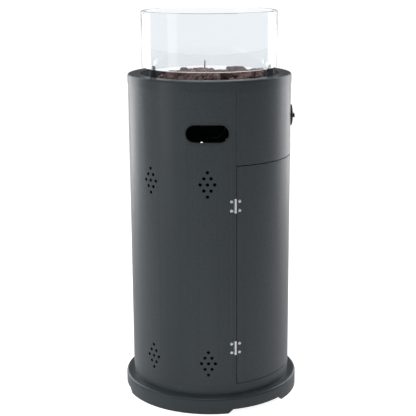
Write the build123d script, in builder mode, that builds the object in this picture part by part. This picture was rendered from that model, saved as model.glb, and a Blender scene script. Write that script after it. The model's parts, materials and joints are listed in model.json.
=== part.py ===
from build123d import *
from math import asin, cos, degrees, dist, pi, radians, sin, sqrt
import os

# Free-standing gas patio heater: a round steel cabinet that hides the gas bottle, a bowl of
# lava rock over a ring burner, and a loose glass cylinder that shelters the flame.
# Millimetres. Origin at the centre of the underside of the base, +Z up, front towards -Y.
# A bearing of 0 faces the front and grows towards +X.

# ---------------------------------------------------------------- overall sizes
housing_radius = 200.0
base_overhang = 19.3
base_height = 39.5
plinth_height = 21.5
shell_height = 739.4
glass_height = 134.5

# ---------------------------------------------------------------- sheet and clearances
base_sheet = 2.0
floor_sheet = 1.5
body_sheet = 1.0
cap_sheet = 1.2
bowl_sheet = 1.2
bracket_sheet = 1.5
seat_gap = 0.3
fit_gap = 0.1
hole_clearance = 0.2
running_clearance = 0.05

# ---------------------------------------------------------------- base, plinth and floor
base_edge_radius = 6.0
base_lip = 9.0
arch_bearings = (-60.0, 60.0, 180.0)
arch_half_angle = 21.2
arch_slope_angle = 3.2
arch_height = 10.0
plinth_inset = 1.0
plinth_flange = 15.0
floor_rim = 13.0
floor_drop = 0.4
drain_radius = 10.0
drain_inset = 50.0
drain_count = 8
bottle_radius = 114.5
bottle_play = 2.5
bottle_ring_height = 18.0
bottle_ring_flange = 14.0

# ---------------------------------------------------------------- front opening, door and panel
opening_half_angle = 74.35
seam_gap_angle = 0.45
panel_gap_angle = 0.12
sill_height = 6.5
jamb_depth = 17.0
shell_flange = 13.0
door_clearance_low = 1.3
door_gap_high = 2.0
panel_height = 191.7
door_flange = 10.0
door_edge_drop = 1.0
door_bend_angle = 2.8
pad_depth = 3.0
pad_height = 106.0
pad_drop = 118.2
pad_slope_low = 8.0
pad_slope_high = 14.0

# ---------------------------------------------------------------- holes in the cabinet
vent_bearings = (-137.0, -94.0, 94.0, 137.0)
vent_low_rise = 62.3
vent_high_drop = 239.9
vent_hole_radius = 4.0
vent_row_pitch = 14.5
vent_half_pitch = 8.4
slot_bearing = 94.0
slot_drop = 121.2
slot_length = 100.0
slot_width = 42.0
slot_rim = 3.9
slot_rim_depth = 9.0

# ---------------------------------------------------------------- how far the cuts reach
cut_start = 5.0
cut_depth = 10.0

# ---------------------------------------------------------------- hinges, catch and pull
hinge_low_rise = 91.7
hinge_high_drop = 93.5
hinge_edge_gap = 0.49
hinge_inset = 0.5
hinge_height = 33.0
barrel_radius = 3.0
hinge_pin_radius = 1.5
leaf_sheet = 1.2
leaf_width = 15.5
leaf_gap = 0.4
knuckle_count = 5
knuckle_gap = 0.3
notch_margin = 1.5
rivet_offset = 9.95
rivet_half_pitch = 11.0
rivet_shank_radius = 2.0
rivet_head_radius = 4.0
rivet_head_height = 2.2
rivet_seat = 0.1
rivet_tail = 4.6
rivet_tail_height = 1.2
pin_cap_height = 1.0
catch_length = 32.8
catch_height = 15.0
catch_depth = 15.0
catch_gap = 0.5
strike_sheet = 1.5
strike_seat = 0.6
strike_length = 19.7
strike_shift_angle = 1.5
pull_bearing = 62.0
pull_radius = 10.0
pull_stem_radius = 5.0
pull_stem_length = 6.0
pull_head_length = 11.0
pull_edge_radius = 3.0
pull_thread = 4.0

# ---------------------------------------------------------------- top, bowl and glass
cap_clearance = 0.2
cap_seat = 4.2
cap_stud_turn = 30.0
cap_support_width = 16.0
cap_support_drop = 22.0
cap_skirt = 22.1
cap_edge_radius = 5.0
cap_ring_width = 30.0
cap_stud_length = 9.0
bowl_depth = 60.0
bowl_flare = 11.0
bowl_flange_width = 25.0
glass_inset = 4.0
glass_wall = 5.0
glass_lift = 15.8
glass_bracket_bearings = (-148.0, -28.0, 92.0)
blade_sheet = 2.5
tongue_width = 6.7
tongue_height = 10.5
tongue_gap = 0.8
blade_overlap = 3.3
blade_shoulder_drop = 6.0
blade_seat = 0.1
foot_length = 24.0
foot_width = 14.0
glass_rim_radius = 1.2

# ---------------------------------------------------------------- burner and heat shield
burner_ring_radius = 80.0
burner_pipe_radius = 8.0
burner_pipe_wall = 1.2
burner_rise = 14.2
burner_port_radius = 1.25
burner_port_count = 24
hub_radius = 14.0
hub_height = 26.0
hub_chamfer = 2.0
spoke_bearings = (30.0, 150.0, 270.0)
mixer_radius = 11.0
mixer_wall = 1.2
mixer_length = 33.0
shutter_height = 16.0
air_window_radius = 4.5
elbow_side = 18.0
nozzle_seat = 4.0
nozzle_height = 5.0
nozzle_radius = 6.0
hood_spot = (-6.0, 12.0)
hood_length = 30.0
hood_width = 24.0
hood_height = 40.0
hood_rise = 0.4
probe_hole_radius = 5.0
probe_seat = 0.9
thermocouple_spot = (-30.0, -37.0)
electrode_spot = (32.0, -22.0)
shield_drop = 20.0
shield_inset = 10.0
shield_hole_radius = 56.0
shield_lip = 6.0
spacer_radius = 5.0
spacer_inset = 48.0
spacer_turn = 45.0
spacer_count = 4
rock_size = 34.0
rock_chamfer = 6.0
rock_shrinks = (1.0, 0.94, 0.88)
rock_wall_gap = 31.0
rock_ring_pitch = 43.5
rock_pitch = 47.6
rock_ring_least = 41.0
rock_stagger = 3.0

# ---------------------------------------------------------------- control valve and knob
knob_radius = 26.0
knob_proud = 12.4
knob_drop = 106.8
knob_sink = 2.0
knob_rim = 2.0
knob_hollow = 6.1
knob_grip_depth = 8.4
knob_travel = 4.0
knob_side_gap = 0.8
well_floor_gap = 0.6
knob_dome = 4.0
bezel_wall = 1.2
bezel_rim = 3.0
bezel_rise = 1.0
bezel_foot = 0.9
spindle_radius = 4.0
spindle_cover = 6.0
spindle_fit = 0.02
plunger_radius = 8.0
plunger_length = 26.0
valve_nose_radius = 15.0
nose_gap = 2.2
bracket_set_back = 4.0
valve_set_back = 20.0
collar_width = 3.0
collar_height = 4.0
valve_nut_height = 3.0
valve_half_width = 20.0
valve_half_height = 18.0
valve_depth = 50.0
bracket_half_width = 38.0
bracket_foot = 12.0
bracket_height = 48.0
knob_grip = 2.2
knob_grip_width = 9.0
inlet_tail_radius = 4.5
inlet_tail_length = 24.0
inlet_hex = 9.0
inlet_hex_height = 9.0
inlet_bore_radius = 2.475
probe_radius = 4.5
probe_tip_radius = 2.5
probe_length = 18.0
electrode_radius = 4.0
electrode_length = 24.0
electrode_tip_radius = 1.2
electrode_tip_length = 12.0
igniter_radius = 6.0
igniter_length = 34.0
igniter_shift = 28.88
igniter_drop = 7.0
igniter_nose = 2.0
tilt_switch_rise = 6.0
tilt_switch_size = (13.0, 26.0, 24.0)
lead_radius = 1.5
spark_lead_radius = 2.5
feed_pipe_radius = 4.0

# ---------------------------------------------------------------- fasteners
screw_radius = 2.5
screw_head_radius = 4.5
screw_head_height = 3.0
nut_height = 4.0
base_screw_length = 12.0
floor_screw_length = 10.0
bracket_screw_length = 10.0
screw_tail = 5.0
base_screw_count = 6
floor_screw_count = 8
cap_stud_count = 6
panel_screw_heights = (30.0, 95.0, 160.0)

# ---------------------------------------------------------------- sizes that follow
base_radius = housing_radius + base_overhang
inner_radius = housing_radius - body_sheet
plinth_radius = housing_radius - plinth_inset
shell_foot = base_height + plinth_height
floor_top = shell_foot - floor_drop
floor_radius = plinth_radius - cap_sheet - seat_gap
drain_circle = housing_radius - drain_inset
shell_top = shell_foot + shell_height
cap_under = shell_top + cap_seat
cap_top = cap_under + cap_sheet
door_foot = shell_foot + sill_height + door_clearance_low
panel_foot = shell_top - panel_height
door_top = panel_foot - door_gap_high
door_height = door_top - door_foot
door_half_angle = opening_half_angle - seam_gap_angle
panel_half_angle = opening_half_angle - panel_gap_angle
bend_angle = door_half_angle - door_bend_angle
pad_face = -(housing_radius - pad_depth)
pad_back = pad_face + body_sheet
knob_centre = cap_top - knob_drop
pad_middle = cap_top - pad_drop
slot_height = cap_top - slot_drop
vent_heights = (shell_foot + vent_low_rise, cap_top - vent_high_drop)
hinge_heights = (door_foot + hinge_low_rise, door_top - hinge_high_drop)
hinge_bearing = -door_half_angle - degrees((barrel_radius + hinge_edge_gap) / housing_radius)
rivet_turn = degrees(rivet_offset / housing_radius)
leaf_start = barrel_radius + leaf_gap
hinge_radius = housing_radius - hinge_inset
cut_radius = housing_radius + cut_start
cap_hole_radius = housing_radius - cap_ring_width
glass_outer_radius = cap_hole_radius - glass_inset
bowl_floor_top = cap_top - bowl_depth
bowl_floor_under = bowl_floor_top - bowl_sheet
bowl_top_radius = cap_hole_radius + 1
bowl_floor_radius = bowl_top_radius - bowl_flare
bowl_flange_radius = bowl_top_radius + bowl_flange_width
burner_height = bowl_floor_top + burner_rise
mixer_foot = bowl_floor_top - mixer_length
shield_top = bowl_floor_under - shield_drop
shield_radius = bowl_floor_radius - shield_inset
spacer_circle = bowl_floor_radius - spacer_inset
glass_foot = cap_top + glass_lift
base_screw_circle = plinth_radius - plinth_flange / 2
floor_screw_circle = housing_radius - shell_flange * 0.6
cap_stud_circle = bowl_top_radius + bowl_flange_width * 0.55
screw_hole_radius = screw_radius + hole_clearance


def along(bearing, radius, height=0.0):
    """Point at a bearing, a distance from the centre line and a height."""
    return Vector(radius * sin(radians(bearing)), -radius * cos(radians(bearing)), height)


def radial_plane(bearing, radius, height):
    """Upright plane that faces straight out of the cabinet; its y axis points up."""
    outwards = (sin(radians(bearing)), -cos(radians(bearing)), 0)
    around = (cos(radians(bearing)), sin(radians(bearing)), 0)
    return Plane(origin=along(bearing, radius, height), x_dir=around, z_dir=outwards)


def tangent_plane(bearing, radius, height):
    """Level plane whose x axis runs round the cabinet and whose y axis points inwards."""
    around = (cos(radians(bearing)), sin(radians(bearing)), 0)
    return Plane(origin=along(bearing, radius, height), x_dir=around, z_dir=(0, 0, 1))


def blade_plane(bearing):
    """Upright plane through the centre line; its x axis points out along a bearing, its y axis up."""
    outwards = (sin(radians(bearing)), -cos(radians(bearing)), 0)
    around = (-cos(radians(bearing)), -sin(radians(bearing)), 0)
    return Plane(origin=(0, 0, 0), x_dir=outwards, z_dir=around)


def from_centre_line(shape):
    """Distance of a face's or an edge's middle from the centre line of the cabinet."""
    middle = shape.center()
    return sqrt(middle.X ** 2 + middle.Y ** 2)


def ring(inner, outer):
    """Draw a flat ring in the current sketch."""
    Circle(outer)
    Circle(inner, mode=Mode.SUBTRACT)


def ring_sector(inner, outer, first, last):
    """Draw the part of a flat ring between two bearings in the current sketch."""
    with BuildLine() as border:
        outside = CenterArc((0, 0), outer, first - 90, last - first)
        inside = CenterArc((0, 0), inner, first - 90, last - first)
        Line(outside @ 0, inside @ 0)
        Line(outside @ 1, inside @ 1)
    make_face(border.edges())


def circle_row(circle, count, radius, turn=0.0, mode=Mode.ADD):
    """Draw evenly spaced round marks on a circle in the current sketch."""
    with PolarLocations(circle, count, start_angle=turn):
        Circle(radius, mode=mode)


# ================================================================ base and plinth
with BuildPart() as base_plate:
    with BuildSketch(Plane.XZ) as base_profile:
        Polygon(
            (0, base_height),
            (base_radius, base_height),
            (base_radius, 0),
            (base_radius - base_lip, 0),
            (base_radius - base_lip, base_sheet),
            (base_radius - base_sheet, base_sheet),
            (base_radius - base_sheet, base_height - base_sheet),
            (0, base_height - base_sheet),
            align=None,
        )
        outer_corner = (base_radius, base_height)
        fillet(base_profile.vertices().sort_by_distance(outer_corner)[0], base_edge_radius)
        inner_corner = (base_radius - base_sheet, base_height - base_sheet)
        fillet(base_profile.vertices().sort_by_distance(inner_corner)[0], base_edge_radius - base_sheet)
    revolve(axis=Axis.Z)
    arch_foot = base_radius * sin(radians(arch_half_angle))
    arch_crown = base_radius * sin(radians(arch_half_angle - arch_slope_angle))
    for bearing in arch_bearings:
        with BuildSketch(radial_plane(bearing, base_radius * 0.85, 0)):
            Polygon(
                (-arch_foot - 1, -1),
                (arch_foot + 1, -1),
                (arch_crown, arch_height),
                (-arch_crown, arch_height),
                align=None,
            )
        extrude(amount=base_radius * 0.2, mode=Mode.SUBTRACT)
    with BuildSketch(Plane.XY.offset(base_height)):
        circle_row(drain_circle, drain_count, drain_radius)
        circle_row(base_screw_circle, base_screw_count, screw_hole_radius)
    extrude(amount=-base_sheet, mode=Mode.SUBTRACT)

with BuildPart() as plinth_ring:
    with BuildSketch(Plane.XY.offset(base_height)):
        ring(plinth_radius - plinth_flange, plinth_radius)
        circle_row(base_screw_circle, base_screw_count, screw_hole_radius, mode=Mode.SUBTRACT)
    extrude(amount=cap_sheet)
    with BuildSketch(Plane.XY.offset(base_height)):
        ring(plinth_radius - cap_sheet, plinth_radius)
    extrude(amount=floor_top - base_height)

with BuildPart() as base_screws:
    with BuildSketch(Plane.XY.offset(base_height + cap_sheet)):
        circle_row(base_screw_circle, base_screw_count, screw_head_radius)
    extrude(amount=screw_head_height)
    with BuildSketch(Plane.XY.offset(base_height + cap_sheet)):
        circle_row(base_screw_circle, base_screw_count, screw_radius)
    extrude(amount=-base_screw_length)

floor_screw_turn = 90 + 180 / floor_screw_count
with BuildPart() as bottle_floor:
    with BuildSketch(Plane.XY.offset(floor_top)):
        Circle(floor_radius)
        circle_row(drain_circle, drain_count, drain_radius, mode=Mode.SUBTRACT)
        circle_row(
            floor_screw_circle, floor_screw_count, screw_hole_radius, floor_screw_turn, Mode.SUBTRACT
        )
    extrude(amount=-floor_sheet)
    with BuildSketch(Plane.XY.offset(floor_top)):
        ring(floor_radius - floor_sheet, floor_radius)
    extrude(amount=-floor_rim)

bottle_ring_radius = bottle_radius + bottle_play
with BuildPart() as bottle_ring:
    with BuildSketch(Plane.XY.offset(floor_top)):
        ring(bottle_ring_radius, bottle_ring_radius + bracket_sheet)
    extrude(amount=bottle_ring_height)
    with BuildSketch(Plane.XY.offset(floor_top)):
        ring(bottle_ring_radius, bottle_ring_radius + bottle_ring_flange)
    extrude(amount=bracket_sheet)

# ================================================================ cabinet shell
vent_points = []
for row, holes in enumerate((1, 2, 3, 2, 1)):
    for place in range(holes):
        vent_points.append(((2 * place - holes + 1) * vent_half_pitch, (2 - row) * vent_row_pitch))

notch_half_height = hinge_height / 2 + notch_margin
panel_screw_reach = 8.0


def panel_screw_plane(side, drop):
    """Plane on one edge of the front opening, its normal running round the cabinet."""
    around = (side * cos(radians(opening_half_angle)), sin(radians(opening_half_angle)), 0)
    place = along(side * opening_half_angle, housing_radius - jamb_depth / 2 - 1, cap_top - drop)
    return Plane(origin=place, x_dir=(0, 0, 1), z_dir=around)


with BuildPart() as slot_rims:
    for side in (-1, 1):
        with BuildSketch(radial_plane(side * slot_bearing, housing_radius * 0.8, slot_height)):
            SlotOverall(slot_length + 2 * slot_rim, slot_width + 2 * slot_rim)
        extrude(amount=housing_radius * 0.4)
    with BuildSketch(Plane.XY.offset(slot_height - slot_width)):
        ring(housing_radius - slot_rim_depth, inner_radius + body_sheet / 2)
    extrude(amount=2 * slot_width, mode=Mode.INTERSECT)

with BuildPart() as housing_shell:
    with BuildSketch(Plane.XY.offset(shell_foot)):
        ring(inner_radius, housing_radius)
    extrude(amount=sill_height)
    with BuildSketch(Plane.XY.offset(shell_foot)):
        ring(housing_radius - shell_flange, housing_radius)
        circle_row(
            floor_screw_circle, floor_screw_count, screw_hole_radius, floor_screw_turn, Mode.SUBTRACT
        )
    extrude(amount=body_sheet)
    with BuildSketch(Plane.XY.offset(shell_foot)):
        ring_sector(inner_radius, housing_radius, opening_half_angle, 360 - opening_half_angle)
    extrude(amount=shell_height)
    for side in (-1, 1):
        with BuildSketch(tangent_plane(side * opening_half_angle, housing_radius, shell_foot)):
            with Locations((side * body_sheet / 2, jamb_depth / 2 + body_sheet / 2)):
                Rectangle(body_sheet, jamb_depth)
        extrude(amount=shell_height)
    add(slot_rims.part)
    for side in (-1, 1):
        with BuildSketch(radial_plane(side * slot_bearing, housing_radius, slot_height)):
            SlotOverall(slot_length, slot_width)
        extrude(amount=4 * slot_rim_depth, both=True, mode=Mode.SUBTRACT)
    for bearing in vent_bearings:
        for height in vent_heights:
            with BuildSketch(radial_plane(bearing, cut_radius, height)):
                with Locations(*vent_points):
                    Circle(vent_hole_radius)
            extrude(amount=-cut_depth, mode=Mode.SUBTRACT)
    for height in hinge_heights:
        with BuildSketch(tangent_plane(hinge_bearing, hinge_radius, height - notch_half_height)):
            with Locations((-barrel_radius - notch_margin, -cut_start)):
                notch_size = (barrel_radius + 4 * notch_margin, jamb_depth + cut_depth)
                Rectangle(*notch_size, align=(Align.MIN, Align.MIN))
        extrude(amount=2 * notch_half_height, mode=Mode.SUBTRACT)
        for pitch in (-rivet_half_pitch, rivet_half_pitch):
            with BuildSketch(radial_plane(hinge_bearing - rivet_turn, cut_radius, height + pitch)):
                Circle(rivet_shank_radius + hole_clearance)
            extrude(amount=-cut_depth, mode=Mode.SUBTRACT)
    for side in (-1, 1):
        for drop in panel_screw_heights:
            with BuildSketch(panel_screw_plane(side, drop)):
                Circle(screw_hole_radius)
            extrude(amount=panel_screw_reach, both=True, mode=Mode.SUBTRACT)

with BuildPart() as floor_screws:
    with BuildSketch(Plane.XY.offset(shell_foot + body_sheet)):
        circle_row(floor_screw_circle, floor_screw_count, screw_head_radius, floor_screw_turn)
    extrude(amount=screw_head_height)
    with BuildSketch(Plane.XY.offset(shell_foot + body_sheet)):
        circle_row(floor_screw_circle, floor_screw_count, screw_radius, floor_screw_turn)
    extrude(amount=-floor_screw_length)

# ================================================================ control panel
pad_low = pad_middle - pad_height / 2
pad_high = pad_middle + pad_height / 2


def pad_cut(face):
    """Cut the flat pad for the knob into the current round body, down to a face."""
    reach = base_radius
    with BuildSketch(Plane.YZ) as pad_outline:
        Polygon(
            (face, pad_low),
            (face, pad_high),
            (face - pad_depth, pad_high + pad_slope_high),
            (face - reach, pad_high + pad_slope_high),
            (face - reach, pad_low - pad_slope_low),
            (face - pad_depth, pad_low - pad_slope_low),
            align=None,
        )
    extrude(pad_outline.sketch, amount=housing_radius, both=True, mode=Mode.SUBTRACT)


with BuildPart() as panel_core:
    with BuildSketch(Plane.XY.offset(panel_foot - cut_depth)):
        Circle(inner_radius)
    extrude(amount=shell_top - panel_foot + 2 * cut_depth)
    pad_cut(pad_back)

well_radius = knob_radius + knob_side_gap + bezel_wall
knob_back = pad_face + knob_sink
well_floor = knob_back + knob_travel + well_floor_gap

with BuildPart() as control_panel:
    with BuildSketch(Plane.XY.offset(panel_foot)):
        Circle(housing_radius)
    extrude(amount=shell_top - panel_foot)
    pad_cut(pad_face)
    add(panel_core.part, mode=Mode.SUBTRACT)
    with BuildSketch(Plane.XY.offset(panel_foot)):
        ring_sector(inner_radius / 2, base_radius, -panel_half_angle, panel_half_angle)
    extrude(amount=shell_top - panel_foot, mode=Mode.INTERSECT)
    with BuildSketch(Plane.XY.offset(panel_foot)):
        flange_outer = inner_radius + body_sheet / 2
        ring_sector(inner_radius - door_flange, flange_outer, -panel_half_angle, panel_half_angle)
    extrude(amount=body_sheet)
    for side in (-1, 1):
        with BuildSketch(tangent_plane(side * panel_half_angle, housing_radius, panel_foot)):
            with Locations((-side * body_sheet / 2, jamb_depth / 2 + body_sheet / 2)):
                Rectangle(body_sheet, jamb_depth)
        extrude(amount=shell_top - panel_foot)
        for drop in panel_screw_heights:
            with BuildSketch(panel_screw_plane(side, drop)):
                Circle(screw_hole_radius)
            extrude(amount=panel_screw_reach, both=True, mode=Mode.SUBTRACT)
    with BuildSketch(Plane.XZ.offset(-pad_back - cut_start)):
        with Locations((0, knob_centre)):
            Circle(well_radius + hole_clearance)
    extrude(amount=cut_depth, mode=Mode.SUBTRACT)

with BuildPart() as panel_screws:
    for side in (-1, 1):
        for drop in panel_screw_heights:
            with BuildSketch(panel_screw_plane(side, drop).offset(body_sheet)):
                Circle(screw_head_radius)
            extrude(amount=screw_head_height)
            with BuildSketch(panel_screw_plane(side, drop).offset(body_sheet)):
                Circle(screw_radius)
            extrude(amount=-panel_screw_reach)

# ================================================================ door
with BuildPart() as door_panel:
    with BuildSketch(Plane.XY.offset(door_foot)):
        ring_sector(inner_radius, housing_radius, -bend_angle, door_half_angle)
        outer_edge = along(-door_half_angle, housing_radius - door_edge_drop)
        inner_edge = along(-door_half_angle, inner_radius - door_edge_drop)
        outer_bend = along(-bend_angle, housing_radius)
        inner_bend = along(-bend_angle, inner_radius)
        corners = [(spot.X, spot.Y) for spot in (outer_edge, inner_edge, inner_bend, outer_bend)]
        Polygon(*corners, align=None)
    extrude(amount=door_height)
    with BuildSketch(Plane.XY.offset(door_foot)):
        ring_sector(inner_radius - body_sheet, inner_radius, bend_angle, door_half_angle)
    extrude(amount=door_height)
    for height in (door_foot, door_top - body_sheet):
        with BuildSketch(Plane.XY.offset(height)):
            ring_sector(inner_radius - door_flange, inner_radius, -bend_angle, door_half_angle)
        extrude(amount=body_sheet)
    for height in hinge_heights:
        for pitch in (-rivet_half_pitch, rivet_half_pitch):
            with BuildSketch(radial_plane(hinge_bearing + rivet_turn, cut_radius, height + pitch)):
                Circle(rivet_shank_radius + hole_clearance)
            extrude(amount=-cut_depth, mode=Mode.SUBTRACT)
    with BuildSketch(radial_plane(pull_bearing, cut_radius, (door_foot + door_top) / 2)):
        Circle(screw_hole_radius)
    extrude(amount=-cut_depth, mode=Mode.SUBTRACT)

# ================================================================ hinges
knuckle_length = hinge_height / knuckle_count
hinge_leaves = {}
for level, height in zip(("lower", "upper"), hinge_heights):
    for side, knuckles in (("fixed", (0, 2, 4)), ("door", (1, 3))):
        way = -1 if side == "fixed" else 1
        foot = height - hinge_height / 2
        leaf_align = (Align.MAX if way < 0 else Align.MIN, Align.MIN)
        with BuildPart() as leaf:
            with BuildSketch(tangent_plane(hinge_bearing, hinge_radius, foot)):
                with Locations((way * leaf_start, barrel_radius - leaf_sheet)):
                    Rectangle(leaf_width - leaf_start, leaf_sheet, align=leaf_align)
            extrude(amount=hinge_height)
            for knuckle in knuckles:
                trim = knuckle_gap if side == "door" else 0
                knuckle_foot = foot + knuckle * knuckle_length + trim
                with BuildSketch(tangent_plane(hinge_bearing, hinge_radius, knuckle_foot)):
                    with Locations((0, barrel_radius - leaf_sheet)):
                        Rectangle(leaf_start + 0.1, leaf_sheet, align=leaf_align)
                    Circle(barrel_radius)
                    Circle(hinge_pin_radius + running_clearance, mode=Mode.SUBTRACT)
                extrude(amount=knuckle_length - 2 * trim)
            for pitch in (-rivet_half_pitch, rivet_half_pitch):
                place = radial_plane(hinge_bearing + way * rivet_turn, cut_radius, height + pitch)
                with BuildSketch(place):
                    Circle(rivet_shank_radius + hole_clearance)
                extrude(amount=-1.4 * cut_depth, mode=Mode.SUBTRACT)
        hinge_leaves[f"hinge_leaf_{side}_{level}"] = leaf

hinge_pins = {}
for level, height in zip(("lower", "upper"), hinge_heights):
    with BuildPart() as pin:
        with BuildSketch(tangent_plane(hinge_bearing, hinge_radius, height - hinge_height / 2)):
            Circle(hinge_pin_radius)
        extrude(amount=hinge_height)
        for level_height, way in ((height - hinge_height / 2, -1), (height + hinge_height / 2, 1)):
            with BuildSketch(tangent_plane(hinge_bearing, hinge_radius, level_height)):
                Circle(barrel_radius - knuckle_gap)
            extrude(amount=way * pin_cap_height)
    hinge_pins[f"hinge_pin_{level}"] = pin

rivets = {}
for side, way in (("fixed", -1), ("door", 1)):
    with BuildPart() as rivet_set:
        for height in hinge_heights:
            for pitch in (-rivet_half_pitch, rivet_half_pitch):
                bearing = hinge_bearing + way * rivet_turn
                place = radial_plane(bearing, housing_radius + rivet_seat, height + pitch)
                with BuildSketch(place):
                    Circle(rivet_shank_radius)
                extrude(amount=-rivet_tail)
                with BuildSketch(place.offset(-rivet_tail - 1)):
                    Circle(rivet_head_radius * 0.8)
                extrude(amount=rivet_tail_height)
                with BuildSketch(place):
                    Circle(rivet_head_radius)
                extrude(amount=rivet_head_height)
                flat_faces = rivet_set.faces(Select.LAST).filter_by(GeomType.PLANE)
                fillet(flat_faces.sort_by(from_centre_line)[-1].edges(), rivet_head_height - 0.3)
    rivets[f"hinge_rivets_{side}"] = rivet_set

# ================================================================ catch and pull
catch_middle = (door_foot + door_top) / 2
strike_back = inner_radius - strike_seat
magnet_face = strike_back - strike_sheet - catch_gap
magnet_turn = asin((catch_length / 2 + seat_gap) / (magnet_face - catch_depth))
catch_bearing = opening_half_angle - degrees(magnet_turn)
with BuildPart() as catch_magnet:
    with BuildSketch(radial_plane(catch_bearing, magnet_face, catch_middle)):
        Rectangle(catch_length, catch_height)
    extrude(amount=-catch_depth)

with BuildPart() as strike_plate:
    with BuildSketch(radial_plane(catch_bearing - strike_shift_angle, strike_back, catch_middle)):
        Rectangle(strike_length, catch_height)
    extrude(amount=-strike_sheet)

with BuildPart() as door_pull:
    with BuildSketch(radial_plane(pull_bearing, housing_radius + fit_gap, catch_middle)):
        Circle(pull_stem_radius)
    extrude(amount=pull_stem_length)
    with BuildSketch(radial_plane(pull_bearing, housing_radius + fit_gap + pull_stem_length, catch_middle)):
        Circle(pull_radius)
    extrude(amount=pull_head_length)
    pull_front = door_pull.faces().filter_by(GeomType.PLANE).sort_by(from_centre_line)[-1]
    fillet(pull_front.edges(), pull_edge_radius)
    with BuildSketch(radial_plane(pull_bearing, housing_radius, catch_middle)):
        Circle(screw_radius)
    extrude(amount=pull_stem_length + pull_thread, mode=Mode.SUBTRACT)

with BuildPart() as door_pull_screw:
    with BuildSketch(radial_plane(pull_bearing, inner_radius - fit_gap, catch_middle)):
        Circle(screw_head_radius)
    extrude(amount=-screw_head_height)
    with BuildSketch(radial_plane(pull_bearing, inner_radius - fit_gap, catch_middle)):
        Circle(screw_radius)
    extrude(amount=pull_stem_length + pull_thread)

# ================================================================ cap and burner bowl
cap_inner_radius = housing_radius + cap_clearance
cap_radius = cap_inner_radius + body_sheet
with BuildPart() as top_cap:
    with BuildSketch(Plane.XZ) as cap_profile:
        Polygon(
            (cap_hole_radius, cap_top),
            (cap_radius, cap_top),
            (cap_radius, cap_top - cap_skirt),
            (cap_inner_radius, cap_top - cap_skirt),
            (cap_inner_radius, cap_under),
            (cap_hole_radius, cap_under),
            align=None,
        )
        fillet(cap_profile.vertices().sort_by_distance((cap_radius, cap_top))[0], cap_edge_radius)
        inner_edge_radius = cap_edge_radius - cap_sheet
        fillet(cap_profile.vertices().sort_by_distance((cap_inner_radius, cap_under))[0], inner_edge_radius)
    revolve(axis=Axis.Z)
    with BuildSketch(Plane.XY.offset(cap_under)):
        circle_row(cap_stud_circle, cap_stud_count, screw_radius, cap_stud_turn)
    extrude(amount=-cap_stud_length)

with BuildPart() as burner_bowl:
    with BuildSketch(Plane.XZ):
        Polygon(
            (0, bowl_floor_top),
            (bowl_floor_radius, bowl_floor_top),
            (bowl_top_radius, cap_under),
            (bowl_flange_radius, cap_under),
            (bowl_flange_radius, cap_under - bowl_sheet),
            (bowl_top_radius + bowl_sheet, cap_under - bowl_sheet),
            (bowl_floor_radius + bowl_sheet, bowl_floor_under),
            (0, bowl_floor_under),
            align=None,
        )
    revolve(axis=Axis.Z)
    with BuildSketch(Plane.XY.offset(cap_under)):
        circle_row(cap_stud_circle, cap_stud_count, screw_hole_radius, cap_stud_turn)
    extrude(amount=-bowl_sheet, mode=Mode.SUBTRACT)
    with BuildSketch(Plane.XY.offset(bowl_floor_top)):
        Circle(mixer_radius + hole_clearance)
        circle_row(spacer_circle, spacer_count, screw_hole_radius, spacer_turn)
        with Locations(thermocouple_spot, electrode_spot):
            Circle(probe_hole_radius)
    extrude(amount=-bowl_sheet, mode=Mode.SUBTRACT)

support_top = cap_under - bowl_sheet - fit_gap
with BuildPart() as cap_supports:
    for step in range(cap_stud_count):
        bearing = 90 + cap_stud_turn + step * 360 / cap_stud_count
        with BuildSketch(tangent_plane(bearing, inner_radius - seat_gap, support_top)):
            Rectangle(cap_support_width, bowl_flange_width - 4, align=(Align.CENTER, Align.MIN))
        extrude(amount=-bracket_sheet)
        with BuildSketch(tangent_plane(bearing, inner_radius - seat_gap, support_top)):
            Rectangle(cap_support_width, bracket_sheet, align=(Align.CENTER, Align.MIN))
        extrude(amount=-cap_support_drop)
    with BuildSketch(Plane.XY.offset(support_top)):
        circle_row(cap_stud_circle, cap_stud_count, screw_hole_radius, cap_stud_turn)
    extrude(amount=-bracket_sheet, mode=Mode.SUBTRACT)

with BuildPart() as cap_nuts:
    with BuildSketch(Plane.XY.offset(support_top - bracket_sheet - fit_gap)):
        with PolarLocations(cap_stud_circle, cap_stud_count, start_angle=cap_stud_turn):
            RegularPolygon(screw_head_radius, 6)
            Circle(screw_hole_radius, mode=Mode.SUBTRACT)
    extrude(amount=-nut_height)

# ================================================================ glass guard and its brackets
glass_inner_radius = glass_outer_radius - glass_wall
tongue_outer = glass_inner_radius - tongue_gap
tongue_inner = tongue_outer - tongue_width
blade_outer = glass_outer_radius + blade_overlap
blade_foot = bowl_floor_top + blade_seat
glass_brackets = {}
for number, bearing in enumerate(glass_bracket_bearings, start=1):
    with BuildPart() as blade:
        with BuildSketch(blade_plane(bearing)) as blade_profile:
            Polygon(
                (tongue_inner, blade_foot),
                (bowl_floor_radius - 1, blade_foot),
                (blade_outer, cap_under - blade_shoulder_drop),
                (blade_outer, glass_foot - blade_seat),
                (tongue_outer, glass_foot - blade_seat),
                (tongue_outer, glass_foot + tongue_height),
                (tongue_inner, glass_foot + tongue_height),
                align=None,
            )
            top_corners = blade_profile.vertices().group_by(Axis.Y)[-1]
            fillet(top_corners, tongue_width * 0.45)
        extrude(amount=blade_sheet / 2, both=True)
        foot_middle = tongue_inner - foot_length / 2 + hole_clearance
        with BuildSketch(tangent_plane(bearing, foot_middle, blade_foot)):
            Rectangle(foot_width, foot_length)
            Circle(screw_hole_radius, mode=Mode.SUBTRACT)
        extrude(amount=blade_sheet)
    glass_brackets[f"glass_bracket_{number}"] = blade

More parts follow.
